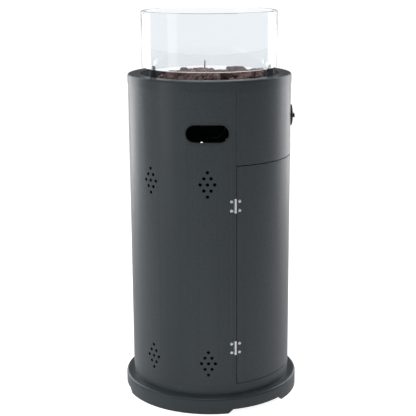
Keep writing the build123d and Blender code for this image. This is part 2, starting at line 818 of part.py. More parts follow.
with BuildPart() as bracket_screw_holes:
    for bearing in glass_bracket_bearings:
        with BuildSketch(tangent_plane(bearing, foot_middle, bowl_floor_top + 1)):
            Circle(screw_hole_radius)
        extrude(amount=-4)
with BuildPart() as bowl_with_holes:
    add(burner_bowl.part)
    add(bracket_screw_holes.part, mode=Mode.SUBTRACT)
burner_bowl = bowl_with_holes

with BuildPart() as bracket_screws:
    for bearing in glass_bracket_bearings:
        with BuildSketch(tangent_plane(bearing, foot_middle, blade_foot + blade_sheet)):
            Circle(screw_head_radius)
        extrude(amount=screw_head_height)
        with BuildSketch(tangent_plane(bearing, foot_middle, blade_foot + blade_sheet)):
            Circle(screw_radius)
        extrude(amount=-bracket_screw_length)
        with BuildSketch(tangent_plane(bearing, foot_middle, bowl_floor_under - fit_gap)):
            RegularPolygon(screw_head_radius, 6)
        extrude(amount=-nut_height)

with BuildPart() as glass_guard:
    with BuildSketch(Plane.XY.offset(glass_foot)):
        ring(glass_inner_radius, glass_outer_radius)
    extrude(amount=glass_height)
    fillet(glass_guard.edges(), glass_rim_radius)

# ================================================================ burner
with BuildPart() as burner_ring:
    with BuildSketch(Plane.XZ):
        with Locations((burner_ring_radius, burner_height)):
            Circle(burner_pipe_radius)
            Circle(burner_pipe_radius - burner_pipe_wall, mode=Mode.SUBTRACT)
    revolve(axis=Axis.Z)
    with BuildSketch(Plane.XY.offset(burner_height)):
        circle_row(burner_ring_radius, burner_port_count, burner_port_radius)
    extrude(amount=burner_pipe_radius + 1, mode=Mode.SUBTRACT)

spoke_radius = burner_pipe_radius * 0.7
with BuildPart() as burner_hub:
    with BuildSketch(Plane.XY.offset(bowl_floor_top + hole_clearance)):
        Circle(hub_radius)
    extrude(amount=hub_height)
    chamfer(burner_hub.edges().group_by(Axis.Z)[-1], hub_chamfer)
    for bearing in spoke_bearings:
        with BuildSketch(radial_plane(bearing, hub_radius - 2, burner_height)):
            Circle(spoke_radius)
        extrude(amount=burner_ring_radius - burner_pipe_radius - hub_radius + 1.6)
    with BuildSketch(Plane.XY.offset(bowl_floor_top)):
        Circle(mixer_radius - mixer_wall)
    extrude(amount=hub_height * 0.8, mode=Mode.SUBTRACT)

with BuildPart() as mixing_tube:
    with BuildSketch(Plane.XY.offset(mixer_foot)):
        ring(mixer_radius - mixer_wall, mixer_radius)
    extrude(amount=mixer_length)
    for turn in (0, 90, 180, 270):
        with BuildSketch(radial_plane(turn, 0, mixer_foot + shutter_height / 2 + 1)):
            Circle(air_window_radius)
        extrude(amount=mixer_radius + 1, mode=Mode.SUBTRACT)

with BuildPart() as air_shutter:
    with BuildSketch(Plane.XY.offset(mixer_foot + 1)):
        ring(mixer_radius + fit_gap, mixer_radius + fit_gap + mixer_wall)
    extrude(amount=shutter_height)
    for turn in (15, 105, 195, 285):
        with BuildSketch(radial_plane(turn, 0, mixer_foot + shutter_height / 2 + 1)):
            Circle(air_window_radius)
        extrude(amount=mixer_radius + cut_start, mode=Mode.SUBTRACT)

elbow_top = mixer_foot - hole_clearance
elbow_middle = elbow_top - elbow_side / 2
with BuildPart() as injector:
    with BuildSketch(Plane.XY.offset(elbow_top)):
        Rectangle(elbow_side, elbow_side)
    extrude(amount=-elbow_side)
    chamfer(injector.edges().filter_by(Axis.Z), 2)
    with BuildSketch(Plane.XY.offset(elbow_top)):
        Circle(mixer_radius - mixer_wall - seat_gap)
    extrude(amount=nozzle_seat)
    with BuildSketch(Plane.XY.offset(elbow_top + nozzle_seat)):
        RegularPolygon(nozzle_radius, 6)
    extrude(amount=nozzle_height)

hood_foot = bowl_floor_top + hub_height + hood_rise
with BuildPart() as flame_hood:
    with BuildSketch(Plane.XY.offset(hood_foot)):
        with Locations(hood_spot):
            Rectangle(hood_length, hood_width)
            hood_inside = (hood_length - 2 * bracket_sheet, hood_width - 2 * bracket_sheet)
            Rectangle(*hood_inside, mode=Mode.SUBTRACT)
    extrude(amount=hood_height)
    with BuildSketch(Plane.XY.offset(hood_foot + hood_height)):
        with Locations(hood_spot):
            Rectangle(hood_length, hood_width)
    extrude(amount=-bracket_sheet)

with BuildPart() as heat_shield:
    with BuildSketch(Plane.XY.offset(shield_top)):
        ring(shield_hole_radius, shield_radius)
        circle_row(spacer_circle, spacer_count, screw_hole_radius, spacer_turn, Mode.SUBTRACT)
    extrude(amount=-bracket_sheet)
    with BuildSketch(Plane.XY.offset(shield_top)):
        ring(shield_radius - bracket_sheet, shield_radius)
    extrude(amount=-shield_lip)

with BuildPart() as shield_spacers:
    with BuildSketch(Plane.XY.offset(shield_top)):
        circle_row(spacer_circle, spacer_count, spacer_radius, spacer_turn)
        circle_row(spacer_circle, spacer_count, screw_hole_radius, spacer_turn, Mode.SUBTRACT)
    extrude(amount=shield_drop)

with BuildPart() as shield_screws:
    with BuildSketch(Plane.XY.offset(bowl_floor_top)):
        circle_row(spacer_circle, spacer_count, screw_head_radius, spacer_turn)
    extrude(amount=screw_head_height)
    with BuildSketch(Plane.XY.offset(bowl_floor_top)):
        circle_row(spacer_circle, spacer_count, screw_radius, spacer_turn)
    extrude(amount=-bowl_sheet - shield_drop - bracket_sheet - screw_tail)

# ================================================================ lava rock
rock_rings = []
ring_radius = bowl_floor_radius - rock_wall_gap
while ring_radius > rock_ring_least:
    rock_rings.append(ring_radius)
    ring_radius = ring_radius - rock_ring_pitch

rock_spots = []
low_height = bowl_floor_top + rock_size * 0.66
low_count = int(2 * pi * rock_rings[0] / rock_pitch)
for step in range(low_count):
    rock_spots.append((360 / low_count * step, rock_rings[0] + 1, low_height))
hood_reach = (hood_length + rock_size) / 2
for ring_radius in rock_rings:
    ring_count = int(2 * pi * ring_radius / rock_pitch)
    for step in range(ring_count):
        turn = 360 / ring_count * (step + 0.5)
        spot = along(turn, ring_radius)
        if dist((spot.X, spot.Y), hood_spot) > hood_reach:
            height = low_height + rock_size * 1.02 + rock_stagger * (step % 2)
            rock_spots.append((turn, ring_radius, height))

stones = []
for shrink in rock_shrinks:
    with BuildPart() as stone:
        Box(rock_size * shrink, rock_size * 0.82 * shrink, rock_size * 0.7 * shrink)
        chamfer(stone.edges(), rock_chamfer)
    stones.append(stone)

with BuildPart() as lava_rocks:
    for number, (bearing, radius, height) in enumerate(rock_spots):
        spot = along(bearing, radius, height)
        tilt = ((number * 47) % 360, (number * 83) % 360, (number * 29) % 360)
        with Locations(Location((spot.X, spot.Y, spot.Z), tilt)):
            add(stones[number % len(stones)].part)

# ================================================================ control valve
nose_front = well_floor + nose_gap
bracket_face = nose_front + bracket_set_back
valve_front = nose_front + valve_set_back
valve_back = valve_front + valve_depth
knob_plane = Plane(origin=(0, 0, knob_centre), x_dir=(1, 0, 0), z_dir=(0, 1, 0))

with BuildPart() as knob_bezel:
    with BuildSketch(knob_plane.offset(pad_face - bezel_rise)):
        ring(knob_radius + knob_side_gap, well_radius + bezel_rim)
    extrude(amount=bezel_foot)
    with BuildSketch(knob_plane.offset(pad_face - bezel_rise)):
        ring(knob_radius + knob_side_gap, well_radius)
    extrude(amount=well_floor + bezel_wall - pad_face + bezel_rise)
    with BuildSketch(knob_plane.offset(well_floor)):
        ring(spindle_radius + 2, well_radius)
    extrude(amount=bezel_wall)

with BuildPart() as valve_bracket:
    half = bracket_half_width
    foot_face = -sqrt(inner_radius ** 2 - (half + bracket_foot) ** 2) + seat_gap
    bracket_arm = bracket_face + bracket_sheet - foot_face
    with BuildSketch(Plane.XY.offset(knob_centre - bracket_height / 2)):
        with Locations((0, bracket_face + bracket_sheet / 2)):
            Rectangle(2 * half, bracket_sheet)
        for side in (-1, 1):
            with Locations((side * (half - bracket_sheet / 2), foot_face)):
                Rectangle(bracket_sheet, bracket_arm, align=(Align.CENTER, Align.MIN))
            foot_place = side * (half + bracket_foot / 2 - bracket_sheet / 2)
            with Locations((foot_place, foot_face + bracket_sheet / 2)):
                Rectangle(bracket_foot + bracket_sheet, bracket_sheet)
    extrude(amount=bracket_height)
    with BuildSketch(knob_plane.offset(bracket_face - 1)):
        Circle(valve_nose_radius + hole_clearance)
        with Locations((igniter_shift, -igniter_drop)):
            Circle(igniter_radius + hole_clearance)
    extrude(amount=bracket_sheet + 2, mode=Mode.SUBTRACT)

with BuildPart() as valve_nut:
    with BuildSketch(knob_plane.offset(bracket_face - valve_nut_height - hole_clearance)):
        RegularPolygon(valve_nose_radius + 2 * collar_width, 6)
        Circle(valve_nose_radius + fit_gap, mode=Mode.SUBTRACT)
    extrude(amount=valve_nut_height)

with BuildPart() as valve_body:
    with BuildSketch(knob_plane.offset(nose_front)):
        Circle(valve_nose_radius)
    extrude(amount=valve_front - nose_front + 1)
    with BuildSketch(knob_plane.offset(bracket_face + bracket_sheet + fit_gap)):
        Circle(valve_nose_radius + collar_width)
    extrude(amount=collar_height)
    with BuildSketch(knob_plane.offset(valve_front)):
        RectangleRounded(2 * valve_half_width, 2 * valve_half_height, 4)
    extrude(amount=valve_depth)
    with BuildSketch(knob_plane.offset(nose_front - 1)):
        Circle(plunger_radius + running_clearance)
    extrude(amount=plunger_length + knob_travel + cut_start, mode=Mode.SUBTRACT)

with BuildPart() as valve_plunger:
    with BuildSketch(knob_plane.offset(nose_front + 0.5)):
        Circle(plunger_radius)
    extrude(amount=plunger_length)
    with BuildSketch(knob_plane.offset(nose_front)):
        Circle(spindle_radius + running_clearance)
    extrude(amount=plunger_length - 4, mode=Mode.SUBTRACT)

spindle_tip = pad_face - knob_proud + spindle_cover
inlet_place = (valve_front + valve_back) / 2
with BuildPart() as valve_spindle:
    with BuildSketch(knob_plane.offset(spindle_tip)):
        Circle(spindle_radius)
    extrude(amount=nose_front + plunger_length - 5 - spindle_tip)

knob_front = pad_face - knob_proud + knob_grip
with BuildPart() as control_knob:
    with BuildSketch(Plane.YZ):
        with BuildLine():
            Polyline(
                (knob_front, knob_centre),
                (knob_back, knob_centre),
                (knob_back, knob_centre + knob_radius),
                (knob_front + knob_dome, knob_centre + knob_radius),
            )
            ThreePointArc(
                (knob_front + knob_dome, knob_centre + knob_radius),
                (knob_front + knob_dome * 0.3, knob_centre + knob_radius * 0.55),
                (knob_front, knob_centre),
            )
        make_face()
    revolve(axis=Axis((0, 0, knob_centre), (0, 1, 0)))
    with BuildSketch(knob_plane.offset(pad_face - knob_proud)):
        RectangleRounded(knob_radius * 1.5, knob_grip_width, knob_grip_width / 2 - 0.1)
    extrude(amount=knob_grip_depth)
    with BuildSketch(knob_plane.offset(knob_back)):
        ring(spindle_radius + knob_rim, knob_radius - knob_rim)
    extrude(amount=-knob_hollow, mode=Mode.SUBTRACT)
    with BuildSketch(knob_plane.offset(knob_back)):
        Circle(spindle_radius + spindle_fit)
    extrude(amount=-(knob_back - spindle_tip), mode=Mode.SUBTRACT)

inlet_top = knob_centre - valve_half_height - fit_gap
with BuildPart() as gas_inlet_fitting:
    with BuildSketch(Plane.XY.offset(inlet_top)):
        with Locations((0, inlet_place)):
            RegularPolygon(inlet_hex, 6)
    extrude(amount=-inlet_hex_height)
    with BuildSketch(Plane.XY.offset(inlet_top - inlet_hex_height)):
        with Locations((0, inlet_place)):
            Circle(inlet_tail_radius)
            Circle(inlet_bore_radius, mode=Mode.SUBTRACT)
    extrude(amount=-inlet_tail_length)

with BuildPart() as piezo_igniter:
    with BuildSketch(knob_plane.offset(bracket_face - igniter_nose)):
        with Locations((igniter_shift, -igniter_drop)):
            Circle(igniter_radius)
    extrude(amount=igniter_length)
    with BuildSketch(knob_plane.offset(bracket_face + bracket_sheet + fit_gap)):
        with Locations((igniter_shift, -igniter_drop)):
            RegularPolygon(igniter_radius + 2, 6)
    extrude(amount=nut_height)

with BuildPart() as tilt_switch:
    with BuildSketch(knob_plane.offset(bracket_face + bracket_sheet + fit_gap)):
        with Locations((-igniter_shift, tilt_switch_rise)):
            RectangleRounded(*tilt_switch_size[:2], 2)
    extrude(amount=tilt_switch_size[2])


# ================================================================ pipe and leads
def lead(points, radii, radius):
    """Sweep a round lead of a radius along straight runs joined by arcs."""
    with BuildPart() as piece:
        with BuildLine() as route:
            FilletPolyline(*points, radius=radii)
        start = Plane(origin=Vector(*points[0]), z_dir=Vector(*points[1]) - Vector(*points[0]))
        with BuildSketch(start) as section:
            Circle(radius)
        sweep(section.sketch, path=route.wire())
    print("lead radii", radii, "length", round(route.wire().length, 1))
    return piece


feed_level = elbow_middle
gas_feed_pipe = lead(
    (
        (0, valve_back + fit_gap, feed_level - 2),
        (0, valve_back + 28, feed_level - 2),
        (14, valve_back + 52, feed_level - 8),
        (0, -elbow_side / 2 - 30, feed_level),
        (0, -elbow_side / 2 - fit_gap, feed_level),
    ),
    (18, 20, 20),
    feed_pipe_radius,
)
thermocouple_lead = lead(
    (
        (*thermocouple_spot, bowl_floor_under - 1),
        (*thermocouple_spot, shield_top - 77),
        (-34, 19, shield_top - 77),
        (-52, 24, shield_top - 32),
        (-50, -50, shield_top - 20),
        (-12, -88, shield_top - 16),
        (-12, valve_back + fit_gap, shield_top - 16),
    ),
    (27, 24, 20, 24, 14),
    lead_radius,
)
igniter_end = bracket_face - igniter_nose + igniter_length
ignition_lead = lead(
    (
        (*electrode_spot, bowl_floor_under - 1),
        (*electrode_spot, shield_top - 25),
        (36, -80, shield_top - 34),
        (igniter_shift, igniter_end + 17, knob_centre - igniter_drop),
        (igniter_shift, igniter_end + fit_gap, knob_centre - igniter_drop),
    ),
    (16, 18, 14),
    spark_lead_radius,
)

probe_foot = bowl_floor_under - probe_seat
with BuildPart() as thermocouple:
    with BuildSketch(Plane.XY.offset(probe_foot)):
        with Locations(thermocouple_spot):
            Circle(probe_radius)
    extrude(amount=probe_length)
    with BuildSketch(Plane.XY.offset(probe_foot + probe_length)):
        with Locations(thermocouple_spot):
            Circle(probe_tip_radius)
    extrude(amount=probe_length)
    fillet(thermocouple.edges().group_by(Axis.Z)[-1], probe_tip_radius - 0.5)

with BuildPart() as spark_electrode:
    with BuildSketch(Plane.XY.offset(probe_foot)):
        with Locations(electrode_spot):
            Circle(electrode_radius)
    extrude(amount=electrode_length)
    with BuildSketch(Plane.XY.offset(probe_foot + electrode_length)):
        with Locations(electrode_spot):
            Circle(electrode_tip_radius)
    extrude(amount=electrode_tip_length)

# ================================================================ output
pieces = {
    "base_plate": base_plate,
    "plinth_ring": plinth_ring,
    "base_screws": base_screws,
    "bottle_floor": bottle_floor,
    "bottle_ring": bottle_ring,
    "floor_screws": floor_screws,
    "housing_shell": housing_shell,
    "control_panel": control_panel,
    "panel_screws": panel_screws,
    "door_panel": door_panel,
    **hinge_leaves,
    **hinge_pins,
    **rivets,
    "catch_magnet": catch_magnet,
    "strike_plate": strike_plate,
    "door_pull": door_pull,
    "door_pull_screw": door_pull_screw,
    "top_cap": top_cap,
    "cap_supports": cap_supports,
    "cap_nuts": cap_nuts,
    "burner_bowl": burner_bowl,
    **glass_brackets,
    "bracket_screws": bracket_screws,
    "glass_guard": glass_guard,
    "burner_ring": burner_ring,
    "burner_hub": burner_hub,
    "mixing_tube": mixing_tube,
    "air_shutter": air_shutter,
    "injector": injector,
    "flame_hood": flame_hood,
    "heat_shield": heat_shield,
    "shield_spacers": shield_spacers,
    "shield_screws": shield_screws,
    "lava_rocks": lava_rocks,
    "knob_bezel": knob_bezel,
    "valve_bracket": valve_bracket,
    "valve_nut": valve_nut,
    "valve_body": valve_body,
    "valve_plunger": valve_plunger,
    "valve_spindle": valve_spindle,
    "control_knob": control_knob,
    "gas_inlet_fitting": gas_inlet_fitting,
    "gas_feed_pipe": gas_feed_pipe,
    "piezo_igniter": piezo_igniter,
    "ignition_lead": ignition_lead,
    "spark_electrode": spark_electrode,
    "thermocouple": thermocouple,
    "thermocouple_lead": thermocouple_lead,
    "tilt_switch": tilt_switch,
}
os.makedirs("parts", exist_ok=True)
for name, piece in pieces.items():
    piece.part.label = name
    export_step(piece.part, f"parts/{name}.step")
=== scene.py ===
"""Looks of a free-standing gas patio heater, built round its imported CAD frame.

The cabinet, hinges, valve and burner come from the frame and are dressed here. The lava rock, the
glass guard, the rolled lips of the hand slots and the rivet heads are made here. Lengths are in metres.
"""
import json
import logging
import math
from dataclasses import dataclass
from enum import Enum

import bmesh
import bpy
from mathutils import Matrix, Vector

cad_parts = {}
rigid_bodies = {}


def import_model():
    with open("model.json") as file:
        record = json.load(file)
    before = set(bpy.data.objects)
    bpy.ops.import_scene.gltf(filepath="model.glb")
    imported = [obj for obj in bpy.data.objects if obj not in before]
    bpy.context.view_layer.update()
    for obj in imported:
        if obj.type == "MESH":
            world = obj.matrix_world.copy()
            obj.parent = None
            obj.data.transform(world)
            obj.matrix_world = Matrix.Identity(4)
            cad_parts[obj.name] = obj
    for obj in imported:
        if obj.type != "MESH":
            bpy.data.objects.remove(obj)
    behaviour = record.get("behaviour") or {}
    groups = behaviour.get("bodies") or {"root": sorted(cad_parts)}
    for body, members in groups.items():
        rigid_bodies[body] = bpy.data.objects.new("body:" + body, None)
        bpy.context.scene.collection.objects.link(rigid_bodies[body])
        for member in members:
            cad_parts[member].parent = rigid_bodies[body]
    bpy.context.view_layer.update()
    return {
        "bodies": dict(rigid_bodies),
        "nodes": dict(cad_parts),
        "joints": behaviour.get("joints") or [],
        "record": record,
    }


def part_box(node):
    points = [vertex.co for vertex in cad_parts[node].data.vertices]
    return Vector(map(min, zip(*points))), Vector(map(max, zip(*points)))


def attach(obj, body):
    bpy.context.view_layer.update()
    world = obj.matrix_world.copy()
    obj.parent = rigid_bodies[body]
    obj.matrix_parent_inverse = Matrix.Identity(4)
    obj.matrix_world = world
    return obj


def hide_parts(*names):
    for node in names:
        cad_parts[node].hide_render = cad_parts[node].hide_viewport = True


LOG = logging.getLogger("heater")
Colour = tuple[float, float, float]
WHITE: Colour = (1.0, 1.0, 1.0)
MERGE_GAP = 0.00001


class Side(Enum):
    """The two sides of the cabinet, as a sign along X."""

    LEFT = -1
    RIGHT = 1


class Pattern(Enum):
    """How a metal surface was finished."""

    BRUSHED = "brushed"
    CAST = "cast"


# ---------------------------------------------------------------- places on the round body
def outward(bearing: float) -> Vector:
    """Give the level direction that points out of the cabinet at a bearing in degrees.

    Args:
        bearing: 0 at the front, growing towards +X.

    Returns:
        A unit vector.
    """
    turn = math.radians(bearing)
    return Vector((math.sin(turn), -math.cos(turn), 0.0))


def middle(node: str) -> Vector:
    """Give the middle of a CAD node's box."""
    low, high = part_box(node)
    return (Vector(low) + Vector(high)) / 2


# ---------------------------------------------------------------- node helpers
def new_material(name: str) -> tuple[bpy.types.Material, bpy.types.NodeTree, bpy.types.Node]:
    """Make an empty material with a Principled shader wired to its output.

    Args:
        name: the material's name.

    Returns:
        The material, its node tree and its Principled node.
    """
    material = bpy.data.materials.new(name)
    material.use_nodes = True
    tree = material.node_tree
    tree.nodes.clear()
    output = tree.nodes.new("ShaderNodeOutputMaterial")
    shader = tree.nodes.new("ShaderNodeBsdfPrincipled")
    tree.links.new(shader.outputs["BSDF"], output.inputs["Surface"])
    return material, tree, shader


def object_point(tree: bpy.types.NodeTree, scale: Colour = (1.0, 1.0, 1.0)) -> bpy.types.NodeSocket:
    """Add object coordinates, stretched by a Mapping node.

    Args:
        tree: the tree to add to.
        scale: the stretch along each axis.

    Returns:
        The vector socket.
    """
    place = tree.nodes.new("ShaderNodeTexCoord")
    stretch = tree.nodes.new("ShaderNodeMapping")
    stretch.inputs["Scale"].default_value = scale
    tree.links.new(place.outputs["Object"], stretch.inputs["Vector"])
    return stretch.outputs["Vector"]


def new_group(name: str, inputs: dict[str, object], outputs: dict[str, str]) -> tuple:
    """Make an empty shader node group.

    Args:
        name: the group's name.
        inputs: each input's name and its default, a number, or None for a vector.
        outputs: each output's name and its socket type.

    Returns:
        The group tree, its input node and its output node.
    """
    group = bpy.data.node_groups.new(name, "ShaderNodeTree")
    for label, default in inputs.items():
        kind = "NodeSocketVector" if default is None else "NodeSocketFloat"
        socket = group.interface.new_socket(label, in_out="INPUT", socket_type=kind)
        if default is not None:
            socket.default_value = default
    for label, kind in outputs.items():
        group.interface.new_socket(label, in_out="OUTPUT", socket_type=kind)
    return group, group.nodes.new("NodeGroupInput"), group.nodes.new("NodeGroupOutput")


def put(tree: bpy.types.NodeTree, socket: bpy.types.NodeSocket, value: object) -> None:
    """Give one input its value.

    Args:
        tree: the tree that the input is in.
        socket: the input.
        value: a plain value, or a socket that is linked to it.
    """
    if isinstance(value, bpy.types.NodeSocket):
        tree.links.new(value, socket)
    else:
        socket.default_value = value


def add_noise(
    tree: bpy.types.NodeTree, point: bpy.types.NodeSocket, scale: object, detail: float
) -> bpy.types.NodeSocket:
    """Add a noise texture and give its value socket.

    Args:
        tree: the tree to add to.
        point: the coordinates it reads.
        scale: a number, or a socket that gives the scale.
        detail: how many finer layers it has.

    Returns:
        The noise value.
    """
    texture = tree.nodes.new("ShaderNodeTexNoise")
    texture.inputs["Detail"].default_value = detail
    tree.links.new(point, texture.inputs["Vector"])
    put(tree, texture.inputs["Scale"], scale)
    return texture.outputs["Fac"]


def add_math(
    tree: bpy.types.NodeTree, kind: str, first: object, second: object, clamp: bool = False
) -> bpy.types.NodeSocket:
    """Add a Math node on two numbers or sockets.

    Args:
        tree: the tree to add to.
        kind: the operation.
        first: a number or a socket.
        second: a number or a socket.
        clamp: whether the result stays between 0 and 1.

    Returns:
        The result's socket.
    """
    node = tree.nodes.new("ShaderNodeMath")
    node.operation = kind
    node.use_clamp = clamp
    put(tree, node.inputs[0], first)
    put(tree, node.inputs[1], second)
    return node.outputs["Value"]


def add_mix(
    tree: bpy.types.NodeTree, factor: object, low: object, high: object, blend: str = "MIX"
) -> bpy.types.NodeSocket:
    """Mix two colours by a factor.

    Args:
        tree: the tree to add to.
        factor: a number or a socket; 0 gives the low colour and 1 the high one.
        low: the colour at 0, plain or a socket.
        high: the colour at 1, plain or a socket.
        blend: how the high colour is laid over the low one.

    Returns:
        The mixed colour.
    """
    node = tree.nodes.new("ShaderNodeMix")
    node.data_type = "RGBA"
    node.blend_type = blend
    for place, value in ((0, factor), (6, low), (7, high)):
        put(tree, node.inputs[place], (*value, 1.0) if isinstance(value, tuple) else value)
    return node.outputs[2]


def spread(
    tree: bpy.types.NodeTree,
    value: bpy.types.NodeSocket,
    low: float,
    high: float,
    between: tuple[float, float] = (0.35, 0.65),
) -> bpy.types.NodeSocket:
    """Stretch a part of a value's range, such as the middle of a noise, over another range.

    Args:
        tree: the tree to add to.
        value: the value.
        low: the result at the part's lower end.
        high: the result at its upper end.
        between: the part's two ends.

    Returns:
        The stretched value.
    """
    node = tree.nodes.new("ShaderNodeMapRange")
    node.inputs["From Min"].default_value, node.inputs["From Max"].default_value = between
    node.inputs["To Min"].default_value = low
    node.inputs["To Max"].default_value = high
    tree.links.new(value, node.inputs["Value"])
    return node.outputs["Result"]


class SurfaceEffects:
    """Shader node groups that several finishes share."""

    def __init__(self) -> None:
        """Build every group once."""
        self.orange_peel = self._orange_peel()
        self.edge_wear = self._edge_wear()
        self.settled_dust = self._settled_dust()

    @staticmethod
    def _orange_peel() -> bpy.types.NodeTree:
        """Make the fine grain of a baked coat.

        Returns:
            A group that gives a height and a tone.
        """
        group, given, result = new_group(
            "orange_peel",
            {"Point": None, "Grain Scale": 900.0, "Cloud Scale": 6.0},
            {"Height": "NodeSocketFloat", "Tone": "NodeSocketFloat"},
        )
        point = given.outputs["Point"]
        grain = add_noise(group, point, given.outputs["Grain Scale"], 2.0)
        cloud = add_noise(group, point, given.outputs["Cloud Scale"], 3.0)
        group.links.new(grain, result.inputs["Height"])
        group.links.new(spread(group, cloud, 0.0, 1.0), result.inputs["Tone"])
        return group

    @staticmethod
    def _edge_wear() -> bpy.types.NodeTree:
        """Make the wear of sharp outer edges, broken up by noise.

        Returns:
            A group that gives a mask.
        """
        group, given, result = new_group(
            "edge_wear", {"Point": None, "Breakup Scale": 180.0, "Amount": 1.0}, {"Mask": "NodeSocketFloat"}
        )
        shape = group.nodes.new("ShaderNodeNewGeometry")
        breakup = add_noise(group, given.outputs["Point"], given.outputs["Breakup Scale"], 3.0)
        edge = add_math(group, "SUBTRACT", shape.outputs["Pointiness"], 0.53)
        edge = add_math(group, "MULTIPLY", edge, 12.0, clamp=True)
        edge = add_math(group, "MULTIPLY", edge, breakup)
        edge = add_math(group, "MULTIPLY", edge, given.outputs["Amount"], clamp=True)
        group.links.new(edge, result.inputs["Mask"])
        return group

    @staticmethod
    def _settled_dust() -> bpy.types.NodeTree:
        """Make the thin dust that lies on surfaces that face up.

        Returns:
            A group that gives a mask.
        """
        group, given, result = new_group(
            "settled_dust", {"Point": None, "Amount": 0.2}, {"Mask": "NodeSocketFloat"}
        )
        shape = group.nodes.new("ShaderNodeNewGeometry")
        parts = group.nodes.new("ShaderNodeSeparateXYZ")
        group.links.new(shape.outputs["Normal"], parts.inputs["Vector"])
        flat = add_math(group, "SUBTRACT", parts.outputs["Z"], 0.6)
        flat = add_math(group, "MULTIPLY", flat, 2.5, clamp=True)
        patches = spread(group, add_noise(group, given.outputs["Point"], 25.0, 5.0), 0.2, 1.0)
        mask = add_math(group, "MULTIPLY", flat, patches)
        mask = add_math(group, "MULTIPLY", mask, given.outputs["Amount"], clamp=True)
        group.links.new(mask, result.inputs["Mask"])
        return group


def place_group(
    tree: bpy.types.NodeTree, group: bpy.types.NodeTree, point: bpy.types.NodeSocket, **values: float
) -> bpy.types.Node:
    """Put a shared group into a material.

    Args:
        tree: the material's tree.
        group: the shared group.
        point: the coordinates it reads.
        values: its other inputs, with underscores for spaces.

    Returns:
        The group node.
    """
    node = tree.nodes.new("ShaderNodeGroup")
    node.node_tree = group
    tree.links.new(point, node.inputs["Point"])
    for label, value in values.items():
        node.inputs[label.replace("_", " ")].default_value = value
    return node


def add_bump(
    tree: bpy.types.NodeTree,
    shader: bpy.types.Node,
    height: bpy.types.NodeSocket,
    strength: float,
    depth: float,
) -> None:
    """Feed a height into the shader's normal.

    Args:
        tree: the material's tree.
        shader: the Principled node.
        height: the height, about 0 to 1.
        strength: how much of it shows.
        depth: its real depth in metres.
    """
    node = tree.nodes.new("ShaderNodeBump")
    node.inputs["Strength"].default_value = strength
    node.inputs["Distance"].default_value = depth
    tree.links.new(height, node.inputs["Height"])
    tree.links.new(node.outputs["Normal"], shader.inputs["Normal"])


# ---------------------------------------------------------------- finishes
@dataclass(frozen=True)
class BakedCoat:
    """A baked powder coat on sheet steel, with a fine grain and lightly rubbed edges."""

    name: str
    dark: Colour
    light: Colour
    smooth: float
    rough: float
    dust: float = 0.15
    rubbed: Colour = (0.13, 0.15, 0.165)
    dusty: Colour = (0.16, 0.175, 0.185)

    def make(self, effects: SurfaceEffects) -> bpy.types.Material:
        """Build the material.

        Args:
            effects: the shared node groups.

        Returns:
            The material.
        """
        material, tree, shader = new_material(self.name)
        point = object_point(tree)
        peel = place_group(tree, effects.orange_peel, point)
        wear = place_group(tree, effects.edge_wear, point, Amount=0.5)
        dust = place_group(tree, effects.settled_dust, point, Amount=self.dust)
        colour = add_mix(tree, peel.outputs["Tone"], self.dark, self.light)
        colour = add_mix(tree, wear.outputs["Mask"], colour, self.rubbed)
        colour = add_mix(tree, dust.outputs["Mask"], colour, self.dusty)
        tree.links.new(colour, shader.inputs["Base Color"])
        streaks = add_noise(tree, object_point(tree, (30.0, 30.0, 4.0)), 1.0, 4.0)
        tree.links.new(spread(tree, streaks, self.smooth, self.rough), shader.inputs["Roughness"])
        shader.inputs["IOR"].default_value = 1.5
        shader.inputs["Specular IOR Level"].default_value = 0.5
        add_bump(tree, shader, peel.outputs["Height"], 0.08, 0.0001)
        return material


@dataclass(frozen=True)
class Metal:
    """A bare or plated metal."""

    name: str
    dark: Colour
    light: Colour
    smooth: float
    rough: float
    pattern: Pattern = Pattern.BRUSHED

    def make(self, effects: SurfaceEffects) -> bpy.types.Material:
        """Build the material.

        Args:
            effects: the shared node groups.

        Returns:
            The material.
        """
        material, tree, shader = new_material(self.name)
        stretch = (60.0, 60.0, 900.0) if self.pattern is Pattern.BRUSHED else (700.0, 700.0, 700.0)
        lines = add_noise(tree, object_point(tree, stretch), 1.0, 3.0)
        cloud = spread(tree, add_noise(tree, object_point(tree), 30.0, 4.0), 0.0, 1.0)
        tree.links.new(add_mix(tree, cloud, self.dark, self.light), shader.inputs["Base Color"])
        tree.links.new(spread(tree, lines, self.smooth, self.rough), shader.inputs["Roughness"])
        wear = place_group(tree, effects.edge_wear, object_point(tree), Amount=0.3)
        height = add_math(tree, "ADD", lines, wear.outputs["Mask"])
        shader.inputs["Metallic"].default_value = 1.0
        add_bump(tree, shader, height, 0.2, 0.00008)
        return material


@dataclass(frozen=True)
class Moulding:
    """A moulded plastic, rubber or ceramic surface."""

    name: str
    dark: Colour
    light: Colour
    smooth: float
    rough: float
    grain: float = 1400.0

    def make(self, effects: SurfaceEffects) -> bpy.types.Material:
        """Build the material.

        Args:
            effects: the shared node groups.

        Returns:
            The material.
        """
        material, tree, shader = new_material(self.name)
        point = object_point(tree)
        peel = place_group(tree, effects.orange_peel, point, Grain_Scale=self.grain, Cloud_Scale=40.0)
        tone = peel.outputs["Tone"]
        tree.links.new(add_mix(tree, tone, self.dark, self.light), shader.inputs["Base Color"])
        tree.links.new(spread(tree, tone, self.smooth, self.rough), shader.inputs["Roughness"])
        add_bump(tree, shader, peel.outputs["Height"], 0.3, 0.00012)
        return material


